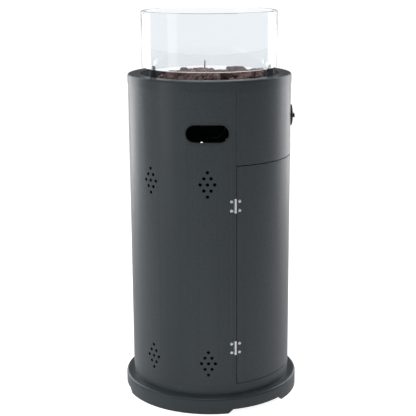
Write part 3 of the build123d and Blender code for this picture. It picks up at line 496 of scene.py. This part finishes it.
@dataclass(frozen=True)
class LavaStone:
    """Porous reddish-brown lava rock."""

    name: str = "lava_stone"
    dark: Colour = (0.21, 0.133, 0.124)
    light: Colour = (0.44, 0.29, 0.27)
    # painted shade: the colour that the pores are darkened by
    pore_shade_colour: Colour = (0.25, 0.2, 0.2)
    dusty: Colour = (0.42, 0.32, 0.3)
    # painted shade: the colour that the lowest stones in the gaps are darkened to
    gap_shade: Colour = (0.1, 0.09, 0.09)
    # how much of the painted shade in the pores shows
    pore_share: float = 0.75
    # the painted gap shade fades out between these two depths below the top of the heap
    gap_shade_depth: float = 0.038
    gap_shade_start: float = 0.02

    def make(self, effects: SurfaceEffects) -> bpy.types.Material:
        """Build the material.

        Args:
            effects: the shared node groups.

        Returns:
            The material.
        """
        material, tree, shader = new_material(self.name)
        point = object_point(tree)
        patches = spread(tree, add_noise(tree, point, 45.0, 6.0), 0.0, 1.0)
        grit = spread(tree, add_noise(tree, point, 420.0, 4.0), 0.0, 1.0)
        pores = tree.nodes.new("ShaderNodeTexVoronoi")
        pores.inputs["Scale"].default_value = 260.0
        pores.inputs["Randomness"].default_value = 1.0
        tree.links.new(point, pores.inputs["Vector"])
        # painted shade: the colour is darkened in the pores, where shade falls; pit also gives the pores
        # their bump
        pit = add_math(tree, "MULTIPLY", pores.outputs["Distance"], 2.2, clamp=True)
        colour = add_mix(tree, patches, self.dark, self.light)
        shade = add_mix(tree, pit, self.pore_shade_colour, WHITE)
        colour = add_mix(tree, self.pore_share, colour, shade, "MULTIPLY")
        dust = place_group(tree, effects.settled_dust, point, Amount=0.35)
        colour = add_mix(tree, dust.outputs["Mask"], colour, self.dusty)
        # the painted shade in the gaps goes on last
        tree.links.new(self.paint_gap_shade(tree, point, colour), shader.inputs["Base Color"])
        tree.links.new(spread(tree, grit, 0.82, 0.98), shader.inputs["Roughness"])
        height = add_math(tree, "ADD", pit, add_math(tree, "MULTIPLY", grit, 0.6))
        add_bump(tree, shader, height, 0.9, 0.0015)
        return material

    def paint_gap_shade(
        self, tree: bpy.types.NodeTree, point: bpy.types.NodeSocket, colour: bpy.types.NodeSocket
    ) -> bpy.types.NodeSocket:
        """Paint shade on the stones down in the gaps, darker towards the bottom of the heap.

        Args:
            tree: the tree to add to.
            point: the object point.
            colour: the stone's colour before the painted shade.

        Returns:
            The colour with the painted shade in the gaps.
        """
        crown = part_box("lava_rocks")[1].z
        parts = tree.nodes.new("ShaderNodeSeparateXYZ")
        tree.links.new(point, parts.inputs["Vector"])
        span = (crown - self.gap_shade_depth, crown - self.gap_shade_start)
        # painted shade: below the top of the heap the stones' colour is darkened, more the lower they lie
        lit_share = spread(tree, parts.outputs["Z"], 0.0, 1.0, span)
        return add_mix(tree, 1.0, colour, add_mix(tree, lit_share, self.gap_shade, WHITE), "MULTIPLY")


@dataclass(frozen=True)
class ClearGlass:
    """Tempered clear glass with a faint blue-grey tint that clouds a little."""

    name: str = "clear_glass"

    def make(self, effects: SurfaceEffects) -> bpy.types.Material:
        """Build the material.

        Args:
            effects: the shared node groups; not used.

        Returns:
            The material.
        """
        material, tree, shader = new_material(self.name)
        smears = add_noise(tree, object_point(tree, (9.0, 9.0, 22.0)), 1.0, 5.0)
        tint = add_mix(tree, smears, (0.865, 0.89, 0.91), (0.885, 0.907, 0.924))
        tree.links.new(tint, shader.inputs["Base Color"])
        shader.inputs["Roughness"].default_value = 0.0
        shader.inputs["Transmission Weight"].default_value = 1.0
        shader.inputs["IOR"].default_value = 1.46
        return material


class Finishes:
    """Every material of the heater, by the record's slot name."""

    def __init__(self, effects: SurfaceEffects) -> None:
        """Build the materials.

        Args:
            effects: the shared node groups.
        """
        recipes = (
            BakedCoat("powder_coat", (0.045, 0.061, 0.073), (0.049, 0.067, 0.08), 0.36, 0.42),
            BakedCoat("bowl_coat", (0.05, 0.068, 0.078), (0.066, 0.086, 0.096), 0.55, 0.68, 0.3),
            Metal("zinc_steel", (0.5, 0.5, 0.5), (0.62, 0.62, 0.63), 0.3, 0.45),
            Metal("bright_steel", (0.72, 0.73, 0.74), (0.84, 0.85, 0.86), 0.25, 0.38),
            Metal("stainless", (0.46, 0.43, 0.4), (0.6, 0.58, 0.56), 0.28, 0.42),
            Metal("brass", (0.66, 0.48, 0.22), (0.76, 0.58, 0.3), 0.22, 0.36),
            Metal("cast_zinc", (0.42, 0.42, 0.44), (0.52, 0.52, 0.54), 0.4, 0.55, Pattern.CAST),
            Metal("copper", (0.2, 0.13, 0.1), (0.32, 0.2, 0.15), 0.35, 0.5),
            Moulding("black_plastic", (0.012, 0.012, 0.013), (0.02, 0.02, 0.021), 0.32, 0.45),
            Moulding("grey_rubber", (0.04, 0.04, 0.042), (0.06, 0.06, 0.06), 0.6, 0.75),
            Moulding("ceramic_white", (0.74, 0.71, 0.64), (0.82, 0.8, 0.75), 0.4, 0.6),
            Moulding("ferrite", (0.05, 0.05, 0.05), (0.09, 0.09, 0.09), 0.5, 0.7),
        )
        self.by_slot = {recipe.name: recipe.make(effects) for recipe in recipes}
        self.by_slot["lava"] = LavaStone().make(effects)
        self.by_slot["clear_glass"] = ClearGlass().make(effects)

    def dress(self, piece: bpy.types.Object, slot: str) -> None:
        """Give a new piece the one finish that a slot name stands for.

        Args:
            piece: the mesh object.
            slot: the record's slot name.
        """
        piece.data.materials.clear()
        piece.data.materials.append(self.by_slot[slot])

    def dress_frame(self, frame: dict) -> None:
        """Put a finish on every CAD node, as the record's slots say.
        """
        slots = {part["node"]: part["material_slot"] for part in frame["record"]["subparts"]}
        for node, thing in frame["nodes"].items():
            for place in range(len(thing.material_slots)):
                thing.material_slots[place].material = self.by_slot[slots[node]]
            LOG.info("dressed %s in %s", node, slots[node])


# ---------------------------------------------------------------- geometry node trees
class Rule:
    """A geometry node tree that is applied once to a starting mesh."""

    KINDS = {float: "NodeSocketFloat", int: "NodeSocketInt"}

    def __init__(self, name: str, sizes: dict[str, float | int]) -> None:
        """Start the tree.

        Args:
            name: the tree's name.
            sizes: each named input and its value.
        """
        self.name = name
        self.sizes = sizes
        self.tree = bpy.data.node_groups.new(name, "GeometryNodeTree")
        self.tree.interface.new_socket("Geometry", in_out="INPUT", socket_type="NodeSocketGeometry")
        self.keys = {
            label: self.tree.interface.new_socket(
                label, in_out="INPUT", socket_type=self.KINDS[type(value)]
            ).identifier
            for label, value in sizes.items()
        }
        self.tree.interface.new_socket("Geometry", in_out="OUTPUT", socket_type="NodeSocketGeometry")
        self.given = self.tree.nodes.new("NodeGroupInput")
        self.result = self.tree.nodes.new("NodeGroupOutput")

    @property
    def start(self) -> bpy.types.NodeSocket:
        """Give the starting mesh's socket."""
        return self.given.outputs["Geometry"]

    def add(self, kind: str, settings: dict[str, object] | None = None, **inputs: object) -> bpy.types.Node:
        """Add a node.

        Args:
            kind: the node's type, without the word GeometryNode where it has it.
            settings: the node's own properties.
            inputs: what feed() takes, by input name, with underscores for spaces.

        Returns:
            The node.
        """
        known = kind if kind.startswith(("Shader", "Function")) else "GeometryNode" + kind
        node = self.tree.nodes.new(known)
        for label, value in (settings or {}).items():
            setattr(node, label, value)
        for label, value in inputs.items():
            self.feed(node.inputs[label.replace("_", " ")], value)
        return node

    def work(self, operation: str, first: object, second: object) -> bpy.types.NodeSocket:
        """Add a Math node.

        Args:
            operation: what it does.
            first: what feed() takes.
            second: what feed() takes.

        Returns:
            The result's socket.
        """
        node = self.add("ShaderNodeMath", {"operation": operation})
        self.fill(node, (first, second))
        return node.outputs["Value"]

    def level(self) -> bpy.types.NodeSocket:
        """Take the height away from each point's own position.

        Returns:
            The level part's socket.
        """
        place = self.add("InputPosition")
        flat = self.add("ShaderNodeVectorMath", {"operation": "MULTIPLY"})
        self.fill(flat, (place.outputs["Position"], (1.0, 1.0, 0.0)))
        return flat.outputs["Vector"]

    def fill(self, node: bpy.types.Node, values: tuple) -> None:
        """Set a node's first inputs in order.

        Args:
            node: the node.
            values: sockets, plain values or names of the tree's inputs.
        """
        for place, value in enumerate(values):
            self.feed(node.inputs[place], value)

    def feed(self, socket: bpy.types.NodeSocket, value: object) -> None:
        """Give one input its value.

        Args:
            socket: the input.
            value: a socket, a plain value or the name of one of the tree's inputs.
        """
        put(self.tree, socket, self.given.outputs[value] if isinstance(value, str) else value)

    def apply(
        self, name: str, start: bpy.types.Mesh, shape: bpy.types.NodeSocket, material: bpy.types.Material
    ) -> bpy.types.Object:
        """End the tree, run it on a mesh and keep the plain result.

        Args:
            name: the new piece's name.
            start: the mesh that the tree starts from.
            shape: the socket that gives the finished geometry.
            material: what the piece is made of.

        Returns:
            The piece, a plain mesh at the origin.
        """
        whole = self.add("RealizeInstances", Geometry=shape)
        painted = self.add("SetMaterial", Geometry=whole.outputs["Geometry"])
        painted.inputs["Material"].default_value = material
        self.tree.links.new(painted.outputs["Geometry"], self.result.inputs["Geometry"])
        holder = add_piece(name + "_rule", start)
        modifier = holder.modifiers.new(self.name, "NODES")
        modifier.node_group = self.tree
        for label, value in self.sizes.items():
            modifier[self.keys[label]] = value
        bpy.context.view_layer.update()
        graph = bpy.context.evaluated_depsgraph_get()
        mesh = bpy.data.meshes.new_from_object(holder.evaluated_get(graph))
        holder.modifiers.remove(modifier)
        bpy.data.objects.remove(holder)
        return add_piece(name, mesh)


def add_piece(name: str, data: bpy.types.ID) -> bpy.types.Object:
    """Put a mesh, a light or a camera into the scene.

    Args:
        name: its name there.
        data: what is put in.

    Returns:
        The object.
    """
    data.name = name
    piece = bpy.data.objects.new(name, data)
    bpy.context.scene.collection.objects.link(piece)
    return piece


def wire_mesh(name: str, points: list[Vector]) -> bpy.types.Mesh:
    """Make a mesh of one closed line of edges.

    Args:
        name: the mesh's name.
        points: the points in order; the last joins the first.

    Returns:
        The mesh.
    """
    mesh = bpy.data.meshes.new(name)
    edges = [(place, (place + 1) % len(points)) for place in range(len(points))]
    mesh.from_pydata([tuple(point) for point in points], edges, [])
    return mesh


def turned_mesh(name: str, outline: list[tuple[float, float]], steps: int) -> bpy.types.Mesh:
    """Turn an outline of radius and height about the Z axis.

    Args:
        name: the mesh's name.
        outline: radius and height pairs; a radius of 0 makes a pole.
        steps: how many faces go round.

    Returns:
        The mesh, with its faces outwards.
    """
    shape = bmesh.new()
    rings = []
    for radius, height in outline:
        if radius == 0.0:
            rings.append([shape.verts.new((0.0, 0.0, height))] * steps)
            continue
        turns = [math.tau * step / steps for step in range(steps)]
        rings.append([shape.verts.new((radius * math.cos(t), radius * math.sin(t), height)) for t in turns])
    for low, high in zip(rings, rings[1:]):
        for step in range(steps):
            after = (step + 1) % steps
            corners = [low[step], low[after], high[after], high[step]]
            face = list(dict.fromkeys(corners))
            if len(face) > 2:
                shape.faces.new(face)
    bmesh.ops.recalc_face_normals(shape, faces=shape.faces)
    mesh = bpy.data.meshes.new(name)
    shape.to_mesh(mesh)
    shape.free()
    return mesh


def face_outwards(piece: bpy.types.Object) -> None:
    """Merge doubles and turn every face of a closed piece outwards.

    Args:
        piece: the mesh object.
    """
    shape = bmesh.new()
    shape.from_mesh(piece.data)
    bmesh.ops.remove_doubles(shape, verts=shape.verts, dist=MERGE_GAP)
    bmesh.ops.recalc_face_normals(shape, faces=shape.faces)
    shape.to_mesh(piece.data)
    shape.free()


def smooth_edges(piece: bpy.types.Object, degrees: float) -> None:
    """Shade a piece smoothly except at edges sharper than an angle.

    Args:
        piece: the mesh object.
        degrees: the angle.
    """
    shape = bmesh.new()
    shape.from_mesh(piece.data)
    limit = math.radians(degrees)
    for face in shape.faces:
        face.smooth = True
    for edge in shape.edges:
        edge.smooth = len(edge.link_faces) == 2 and edge.calc_face_angle(0.0) < limit
    shape.to_mesh(piece.data)
    shape.free()


# ---------------------------------------------------------------- sub-assemblies
@dataclass
class LavaBed:
    """The heap of lava stones that hides the burner."""

    finishes: Finishes
    edge_gap: float = 0.028
    stone_least: float = 0.016
    stone_most: float = 0.026
    layer_drop: float = 0.024
    heap_drop: float = 0.028
    crown: float = 0.002
    spacing: float = 0.046
    lumps: float = 0.75
    hood_room: float = 0.028
    unevenness: float = 0.014
    facet_scale: float = 62.0
    lump_scale: float = 95.0
    pore_scale: float = 330.0
    pore_share: float = 0.16
    crease: float = 40.0
    seed: int = 7

    def heap(self, radius: float, top: float) -> bpy.types.Mesh:
        """Make the surfaces that the stones' middles lie on.

        Args:
            radius: the heap's outer radius.
            top: the height of the upper layer at its edge.

        Returns:
            A mesh of two low domes, one under the other.
        """
        shape = bmesh.new()
        for drop in (0.0, self.layer_drop):
            bmesh.ops.create_circle(
                shape,
                cap_ends=True,
                cap_tris=True,
                segments=48,
                radius=radius,
                matrix=Matrix.Translation((0.0, 0.0, top - drop)),
            )
        for vertex in shape.verts:
            vertex.co.z += self.crown * (1.0 - (vertex.co.to_2d().length / radius) ** 2)
        mesh = bpy.data.meshes.new("lava_heap")
        shape.to_mesh(mesh)
        shape.free()
        return mesh

    def build(self) -> None:
        """Scatter the stones, rough them up and put them in the bowl."""
        low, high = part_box("lava_rocks")
        top = high.z - self.heap_drop
        radius = high.x - self.edge_gap
        rule = Rule(
            "lava_scatter",
            {
                "Spacing": self.spacing,
                "Smallest": self.stone_least,
                "Largest": self.stone_most,
                "Lumps": self.lumps,
                "Seed": self.seed,
            },
        )
        points = rule.add(
            "DistributePointsOnFaces",
            {"distribute_method": "POISSON"},
            Mesh=rule.start,
            Distance_Min="Spacing",
            Density_Max=6000.0,
            Seed="Seed",
        )
        kept = self.leave_hood(rule, points.outputs["Points"])
        stone = rule.add("MeshIcoSphere", Radius=1.0, Subdivisions=4)
        vector = {"data_type": "FLOAT_VECTOR"}
        whole_turn = (math.tau, math.tau, math.tau)
        turn = rule.add("FunctionNodeRandomValue", vector, Seed="Seed", Max=whole_turn)
        least = rule.add("ShaderNodeCombineXYZ", X="Smallest", Y="Smallest", Z="Smallest").outputs["Vector"]
        most = rule.add("ShaderNodeCombineXYZ", X="Largest", Y="Largest", Z="Largest").outputs["Vector"]
        size = rule.add("FunctionNodeRandomValue", vector, Seed="Seed", Min=least, Max=most)
        placed = rule.add(
            "InstanceOnPoints",
            Points=kept,
            Instance=stone.outputs["Mesh"],
            Rotation=turn.outputs["Value"],
            Scale=size.outputs["Value"],
        )
        whole = rule.add("RealizeInstances", Geometry=placed.outputs["Instances"])
        broken = self.roughen(rule, whole.outputs["Geometry"])
        piece = rule.apply("lava_stones", self.heap(radius, top), broken, self.finishes.by_slot["lava"])
        self.keep_inside(piece, high.x, low.z, high.z)
        smooth_edges(piece, self.crease)
        self.finishes.dress(piece, "lava")
        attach(piece, "housing")
        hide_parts("lava_rocks")
        LOG.info("lava bed: %d faces", len(piece.data.polygons))

    def leave_hood(self, rule: Rule, points: bpy.types.NodeSocket) -> bpy.types.NodeSocket:
        """Clear the stones away from the flame hood, and lift each of the rest by its own amount.

        Args:
            rule: the tree.
            points: the scattered points.

        Returns:
            The points that are kept.
        """
        hood = middle("flame_hood")
        apart = rule.add("ShaderNodeVectorMath", {"operation": "DISTANCE"})
        rule.fill(apart, (rule.level(), (hood.x, hood.y, 0.0)))
        near = rule.work("LESS_THAN", apart.outputs["Value"], self.hood_room)
        cleared = rule.add("DeleteGeometry", {"domain": "POINT"}, Geometry=points, Selection=near)
        lift = rule.add(
            "FunctionNodeRandomValue",
            {"data_type": "FLOAT_VECTOR"},
            Seed="Seed",
            Min=(0.0, 0.0, -self.unevenness),
            Max=(0.0, 0.0, self.unevenness),
        )
        moved = rule.add("SetPosition", Geometry=cleared.outputs["Geometry"], Offset=lift.outputs["Value"])
        return moved.outputs["Geometry"]

    def roughen(self, rule: Rule, stones: bpy.types.NodeSocket) -> bpy.types.NodeSocket:
        """Break the round stones into lumps with flat facets and pores.

        Args:
            rule: the tree.
            stones: the realized stones.

        Returns:
            The broken stones.
        """
        place = rule.add("InputPosition").outputs["Position"]
        normal = rule.add("InputNormal").outputs["Normal"]
        facets = rule.add("ShaderNodeTexVoronoi", Vector=place, Scale=self.facet_scale)
        lumps = rule.add("ShaderNodeTexNoise", Vector=place, Scale=self.lump_scale, Detail=5.0)
        pores = rule.add("ShaderNodeTexVoronoi", Vector=place, Scale=self.pore_scale)
        total = rule.work("SUBTRACT", lumps.outputs["Fac"], facets.outputs["Distance"])
        pitted = rule.add("ShaderNodeMath", {"operation": "MULTIPLY_ADD"})
        rule.fill(pitted, (pores.outputs["Distance"], self.pore_share, total))
        depth = rule.work("MULTIPLY", pitted.outputs["Value"], "Lumps")
        real = rule.work("MULTIPLY", depth, "Largest")
        push = rule.add("ShaderNodeVectorMath", {"operation": "SCALE"}, Scale=real)
        rule.fill(push, (normal,))
        moved = rule.add("SetPosition", Geometry=stones, Offset=push.outputs["Vector"])
        return moved.outputs["Geometry"]

    @staticmethod
    def keep_inside(piece: bpy.types.Object, radius: float, floor: float, top: float) -> None:
        """Press every point back inside the bowl's free space.

        Args:
            piece: the stones.
            radius: the farthest a stone may reach.
            floor: the lowest it may lie.
            top: the highest it may rise.
        """
        for vertex in piece.data.vertices:
            place = vertex.co
            reach = place.to_2d().length
            if reach > radius:
                place.x *= radius / reach
                place.y *= radius / reach
            place.z = min(max(place.z, floor), top)


@dataclass
class GlassGuard:
    """The loose glass cylinder, with its ground and polished rims."""

    finishes: Finishes
    rim_round: float = 0.0018
    rim_steps: int = 6
    wall: float = 0.005
    steps: int = 224
    crease: float = 10.0

    def section(self) -> list[tuple[float, float]]:
        """Draw the wall's outline, with both rims rounded.

        Returns:
            Radius and height pairs.
        """
        low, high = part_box("glass_guard")
        outer = high.x
        inner = outer - self.wall
        corners = (
            (outer, low.z, -1, 1, 270.0),
            (outer, high.z, -1, -1, 0.0),
            (inner, high.z, 1, -1, 90.0),
            (inner, low.z, 1, 1, 180.0),
        )
        outline = []
        for radius, height, inwards, upwards, begin in corners:
            centre = (radius + inwards * self.rim_round, height + upwards * self.rim_round)
            for step in range(self.rim_steps + 1):
                turn = math.radians(begin + 90.0 * step / self.rim_steps)
                across = self.rim_round * math.cos(turn)
                rise = self.rim_round * math.sin(turn)
                outline.append((centre[0] + across, centre[1] + rise))
        return outline

    def build(self) -> None:
        """Sweep the section round the circle and set the glass on its brackets."""
        outline = self.section()
        middle_radius = sum(radius for radius, _ in outline) / len(outline)
        flat = [Vector((middle_radius - radius, -height, 0.0)) for radius, height in outline]
        rule = Rule("glass_sweep", {"Radius": middle_radius, "Steps": self.steps})
        circle = rule.add("CurvePrimitiveCircle", Radius="Radius", Resolution="Steps")
        profile = rule.add("MeshToCurve", Mesh=rule.start)
        swept = rule.add(
            "CurveToMesh", Curve=circle.outputs["Curve"], Profile_Curve=profile.outputs["Curve"]
        )
        piece = rule.apply(
            "glass_cylinder",
            wire_mesh("glass_section", flat),
            swept.outputs["Mesh"],
            self.finishes.by_slot["clear_glass"],
        )
        face_outwards(piece)
        smooth_edges(piece, self.crease)
        self.finishes.dress(piece, "clear_glass")
        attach(piece, "glass")
        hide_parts("glass_guard")
        LOG.info("glass guard: %d faces", len(piece.data.polygons))


@dataclass
class SlotLips:
    """The rolled lips round the two hand slots, which cover the sheet's raw edge."""

    finishes: Finishes
    bearing: float = 94.0
    length: float = 0.1
    tall: float = 0.042
    width: float = 0.0042
    proud: float = 0.0016
    shell_radius: float = 0.2
    step: float = 0.003
    section_steps: int = 8
    crease: float = 50.0

    def mouth(self, side: Side, height: float) -> list[Vector]:
        """Give the middle line of a lip, on the cabinet's surface.

        Args:
            side: which side of the cabinet.
            height: the height of the slot's middle.

        Returns:
            The points of a closed line.
        """
        straight = (self.length - self.tall) / 2
        radius = (self.tall + self.width) / 2
        arc_steps = round(math.pi * radius / self.step)
        flat = []
        for end, begin in ((1, -90.0), (-1, 90.0)):
            for step in range(arc_steps + 1):
                turn = math.radians(begin + 180.0 * step / arc_steps)
                flat.append((end * straight + radius * math.cos(turn), radius * math.sin(turn)))
        points = []
        for begin, finish in zip(flat, flat[1:] + flat[:1]):
            pieces = max(1, round(math.dist(begin, finish) / self.step))
            for step in range(pieces):
                share = step / pieces
                across = begin[0] + (finish[0] - begin[0]) * share
                rise = begin[1] + (finish[1] - begin[1]) * share
                bearing = side.value * self.bearing + math.degrees(math.asin(across / self.shell_radius))
                points.append(outward(bearing) * self.shell_radius + Vector((0.0, 0.0, height + rise)))
        return points

    def bead(self) -> list[Vector]:
        """Draw the bead's section, a low arch that stands on the sheet with its foot sunk in it.

        Returns:
            The section's points.
        """
        arch = [math.radians(180.0 * step / self.section_steps) for step in range(self.section_steps + 1)]
        points = [Vector((self.proud * math.sin(t), self.width / 2 * math.cos(t), 0.0)) for t in arch]
        sunk = -self.proud / 2
        return points + [Vector((sunk, -self.width / 2, 0.0)), Vector((sunk, self.width / 2, 0.0))]

    def build(self) -> None:
        """Sweep a bead round each slot's mouth."""
        openings = {gap["name"]: gap["box_m"] for gap in FRAME["record"]["physics"]["openings"]}
        for side in Side:
            low, high = openings["hand_slot_" + side.name.lower()]
            line = wire_mesh("slot_line", self.mouth(side, (low[2] + high[2]) / 2))
            piece = self.sweep("slot_lip_" + side.name.lower(), line)
            self.finishes.dress(piece, "powder_coat")
            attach(piece, "housing")
            LOG.info("%s: %d faces", piece.name, len(piece.data.polygons))

    def sweep(self, name: str, line: bpy.types.Mesh) -> bpy.types.Object:
        """Sweep the bead along a line, with its crown facing out of the cabinet.

        Args:
            name: the piece's name.
            line: the line as a mesh of edges.

        Returns:
            The lip.
        """
        rule = Rule(name + "_sweep", {"Size": 1.0})
        path = rule.add("MeshToCurve", Mesh=rule.start).outputs["Curve"]
        facing = rule.add("SetCurveNormal", {"mode": "FREE"}, Curve=path, Normal=rule.level())
        holder = add_piece("bead_section", wire_mesh("bead_section", self.bead()))
        section = rule.add("ObjectInfo", Object=holder)
        outline = rule.add("MeshToCurve", Mesh=section.outputs["Geometry"])
        curves = {"Curve": facing.outputs["Curve"], "Profile_Curve": outline.outputs["Curve"]}
        swept = rule.add("CurveToMesh", **curves, Scale="Size")
        piece = rule.apply(name, line, swept.outputs["Mesh"], self.finishes.by_slot["powder_coat"])
        bpy.data.objects.remove(holder)
        face_outwards(piece)
        smooth_edges(piece, self.crease)
        return piece


@dataclass
class RivetSet:
    """The bright domed rivets that hold the hinge leaves."""

    finishes: Finishes
    bearing_half: float = 2.85
    rise_half: float = 0.011
    hinge_bearing: float = -74.9
    radius: float = 0.004
    proud: float = 0.0022
    sink: float = 0.0001
    shell_radius: float = 0.2
    steps: int = 28
    rim_steps: int = 6
    flat_share: float = 0.36
    skirt_share: float = 0.25
    crease: float = 40.0

    def dome(self) -> bpy.types.Mesh:
        """Make one rivet head with a rolled rim and a small dimple.

        Returns:
            The head, pointing along Z.
        """
        dimple = [(0.0, self.proud * 0.8), (self.radius * 0.22, self.proud * 0.84)]
        rim = []
        for step in range(self.rim_steps + 1):
            turn = math.radians(90.0 * step / self.rim_steps)
            reach = self.flat_share + (1.0 - self.flat_share) * math.sin(turn)
            rise = self.skirt_share + (1.0 - self.skirt_share) * math.cos(turn)
            rim.append((self.radius * reach, self.proud * rise))
        outline = dimple + rim + [(self.radius, 0.0), (0.0, 0.0)]
        return turned_mesh("rivet_dome", outline, self.steps)

    def places(self, hand: int, heights: list[float]) -> bpy.types.Mesh:
        """Make a mesh of loose points where the heads of one leaf stand.

        Args:
            hand: -1 for the fixed leaves and 1 for the door's.
            heights: the middle height of each hinge.

        Returns:
            The points.
        """
        bearing = self.hinge_bearing + hand * self.bearing_half
        seat = outward(bearing) * (self.shell_radius - self.sink)
        spots = [
            tuple(seat + Vector((0.0, 0.0, height + rise)))
            for height in heights
            for rise in (-self.rise_half, self.rise_half)
        ]
        mesh = bpy.data.meshes.new("rivet_places")
        mesh.from_pydata(spots, [], [])
        return mesh

    def build(self) -> None:
        """Put two heads on every leaf, one piece for each body."""
        heights = [middle(f"hinge_pin_{which}").z for which in ("lower", "upper")]
        for hand, node, body in ((-1, "hinge_rivets_fixed", "housing"), (1, "hinge_rivets_door", "door")):
            rule = Rule(node + "_rule", {"Size": 1.0})
            holder = add_piece("rivet_head", self.dome())
            head = rule.add("ObjectInfo", Object=holder)
            turn = rule.add("FunctionNodeAlignRotationToVector", Vector=rule.level())
            spots = rule.add("MeshToPoints", Mesh=rule.start)
            heads = rule.add(
                "InstanceOnPoints",
                Points=spots.outputs["Points"],
                Instance=head.outputs["Geometry"],
                Rotation=turn.outputs["Rotation"],
                Scale="Size",
            )
            start = self.places(hand, heights)
            steel = self.finishes.by_slot["bright_steel"]
            piece = rule.apply(node + "_heads", start, heads.outputs["Instances"], steel)
            bpy.data.objects.remove(holder)
            smooth_edges(piece, self.crease)
            self.finishes.dress(piece, "bright_steel")
            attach(piece, body)
            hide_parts(node)
            LOG.info("%s: %d faces", piece.name, len(piece.data.polygons))


@dataclass(frozen=True)
class SoftBox:
    """One rectangular soft light, placed round the heater from the camera's own side."""

    name: str
    turn: float
    distance: float
    height: float
    width: float
    tall: float
    power: float


@dataclass
class Studio:
    """The plain studio: a pale floor, soft lights and the camera."""

    boxes: tuple[SoftBox, ...] = (
        SoftBox("band_box", -62.0, 2.8, 1.2, 0.9, 2.2, 9.0),
        SoftBox("left_back_box", -132.0, 2.4, 0.9, 1.7, 2.6, 36.0),
        SoftBox("right_back_box", 132.0, 2.4, 0.9, 1.7, 2.6, 36.0),
        SoftBox("top_box", -20.0, 0.9, 3.0, 1.8, 1.8, 14.0),
    )
    aim_height: float = 0.5
    sensor: float = 36.0
    far_end: float = 200.0
    focal_length: float = 90.545
    distance: float = 2.575
    azimuth: float = -92.3
    camera_height: float = 1.0781
    pitch: float = 13.4286
    roll: float = -0.3023
    shift: float = -0.00514
    floor_half: float = 40.0
    surround: float = 0.2
    floor_glow: float = 0.92
    floor_sheen: float = 0.36

    def build_camera(self) -> None:
        """Stand the camera at the heater's left-hand side."""
        lens = bpy.data.cameras.new("camera")
        lens.lens = self.focal_length
        lens.sensor_width = self.sensor
        lens.shift_x = self.shift
        lens.clip_end = self.far_end
        camera = add_piece("camera", lens)
        place = outward(self.azimuth) * self.distance
        place.z = self.camera_height
        level = Vector((-place.x, -place.y, 0.0)).normalized()
        down = math.radians(self.pitch)
        look = level * math.cos(down) - Vector((0.0, 0.0, math.sin(down)))
        face = look.to_track_quat("-Z", "Y").to_matrix().to_4x4()
        lean = Matrix.Rotation(math.radians(self.roll), 4, "Z")
        camera.matrix_world = Matrix.Translation(place) @ face @ lean
        bpy.context.scene.camera = camera

    def build_floor(self) -> None:
        """Lay a plain pale floor."""
        shape = bmesh.new()
        bmesh.ops.create_grid(shape, x_segments=2, y_segments=2, size=self.floor_half)
        mesh = bpy.data.meshes.new("floor")
        shape.to_mesh(mesh)
        shape.free()
        floor = add_piece("floor", mesh)
        material, tree, shader = new_material("pale_floor")
        shader.inputs["Base Color"].default_value = (0.8, 0.8, 0.8, 1.0)
        shader.inputs["Roughness"].default_value = 0.9
        shader.inputs["Specular IOR Level"].default_value = 0.0
        shader.inputs["Emission Color"].default_value = (1.0, 1.0, 1.0, 1.0)
        glow = add_math(tree, "MULTIPLY", self.straight_sight(tree), self.floor_glow)
        path = tree.nodes.new("ShaderNodeLightPath")
        mirrored = add_math(tree, "MULTIPLY", path.outputs["Is Glossy Ray"], self.floor_sheen)
        glow = add_math(tree, "MAXIMUM", glow, mirrored)
        tree.links.new(glow, shader.inputs["Emission Strength"])
        floor.data.materials.append(material)

    def add_light(self, box: SoftBox) -> None:
        """Hang one soft box that faces the heater, hidden from sight through the glass.

        Args:
            box: the light's place, size and power.
        """
        light = bpy.data.lights.new(box.name, "AREA")
        light.shape = "RECTANGLE"
        light.size = box.width
        light.size_y = box.tall
        light.energy = box.power
        thing = add_piece(box.name, light)
        thing.visible_transmission = False
        spot = outward(self.azimuth + box.turn) * box.distance
        spot.z = box.height
        aim = Vector((0.0, 0.0, self.aim_height)) - spot
        thing.matrix_world = Matrix.Translation(spot) @ aim.to_track_quat("-Z", "Y").to_matrix().to_4x4()

    @staticmethod
    def straight_sight(tree: bpy.types.NodeTree) -> bpy.types.NodeSocket:
        """Tell where the backdrop is seen straight or through glass.

        Args:
            tree: the tree to add to.

        Returns:
            1 where it is seen, and 0 where it only lights.
        """
        path = tree.nodes.new("ShaderNodeLightPath").outputs
        straight = add_math(tree, "MAXIMUM", path["Is Camera Ray"], path["Is Transmission Ray"])
        return add_math(tree, "MAXIMUM", straight, path["Is Singular Ray"])

    def build_world(self) -> None:
        """Surround the heater with white, dimmer as light than as a background."""
        world = bpy.data.worlds.new("studio")
        world.use_nodes = True
        tree = world.node_tree
        background = tree.nodes["Background"]
        background.inputs["Color"].default_value = (1.0, 1.0, 1.0, 1.0)
        strength = add_math(tree, "MULTIPLY", self.straight_sight(tree), 1.0 - self.surround)
        strength = add_math(tree, "ADD", strength, self.surround)
        tree.links.new(strength, background.inputs["Strength"])
        bpy.context.scene.world = world

    def build_light(self) -> None:
        """Hang the soft boxes and set the plain view transform."""
        self.build_world()
        for box in self.boxes:
            self.add_light(box)
        bpy.context.scene.view_settings.view_transform = "Standard"
        bpy.context.scene.view_settings.look = "None"


# ---------------------------------------------------------------- the whole heater
FRAME: dict = {}


def main() -> None:
    """Build the heater round its frame and report every piece."""
    logging.basicConfig(level=logging.INFO, format="%(message)s")
    FRAME.update(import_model())
    studio = Studio()
    studio.build_camera()
    studio.build_floor()
    studio.build_light()
    finishes = Finishes(SurfaceEffects())
    finishes.dress_frame(FRAME)
    for part in (LavaBed(finishes), GlassGuard(finishes), SlotLips(finishes), RivetSet(finishes)):
        part.build()


if __name__ == "__main__":
    main()
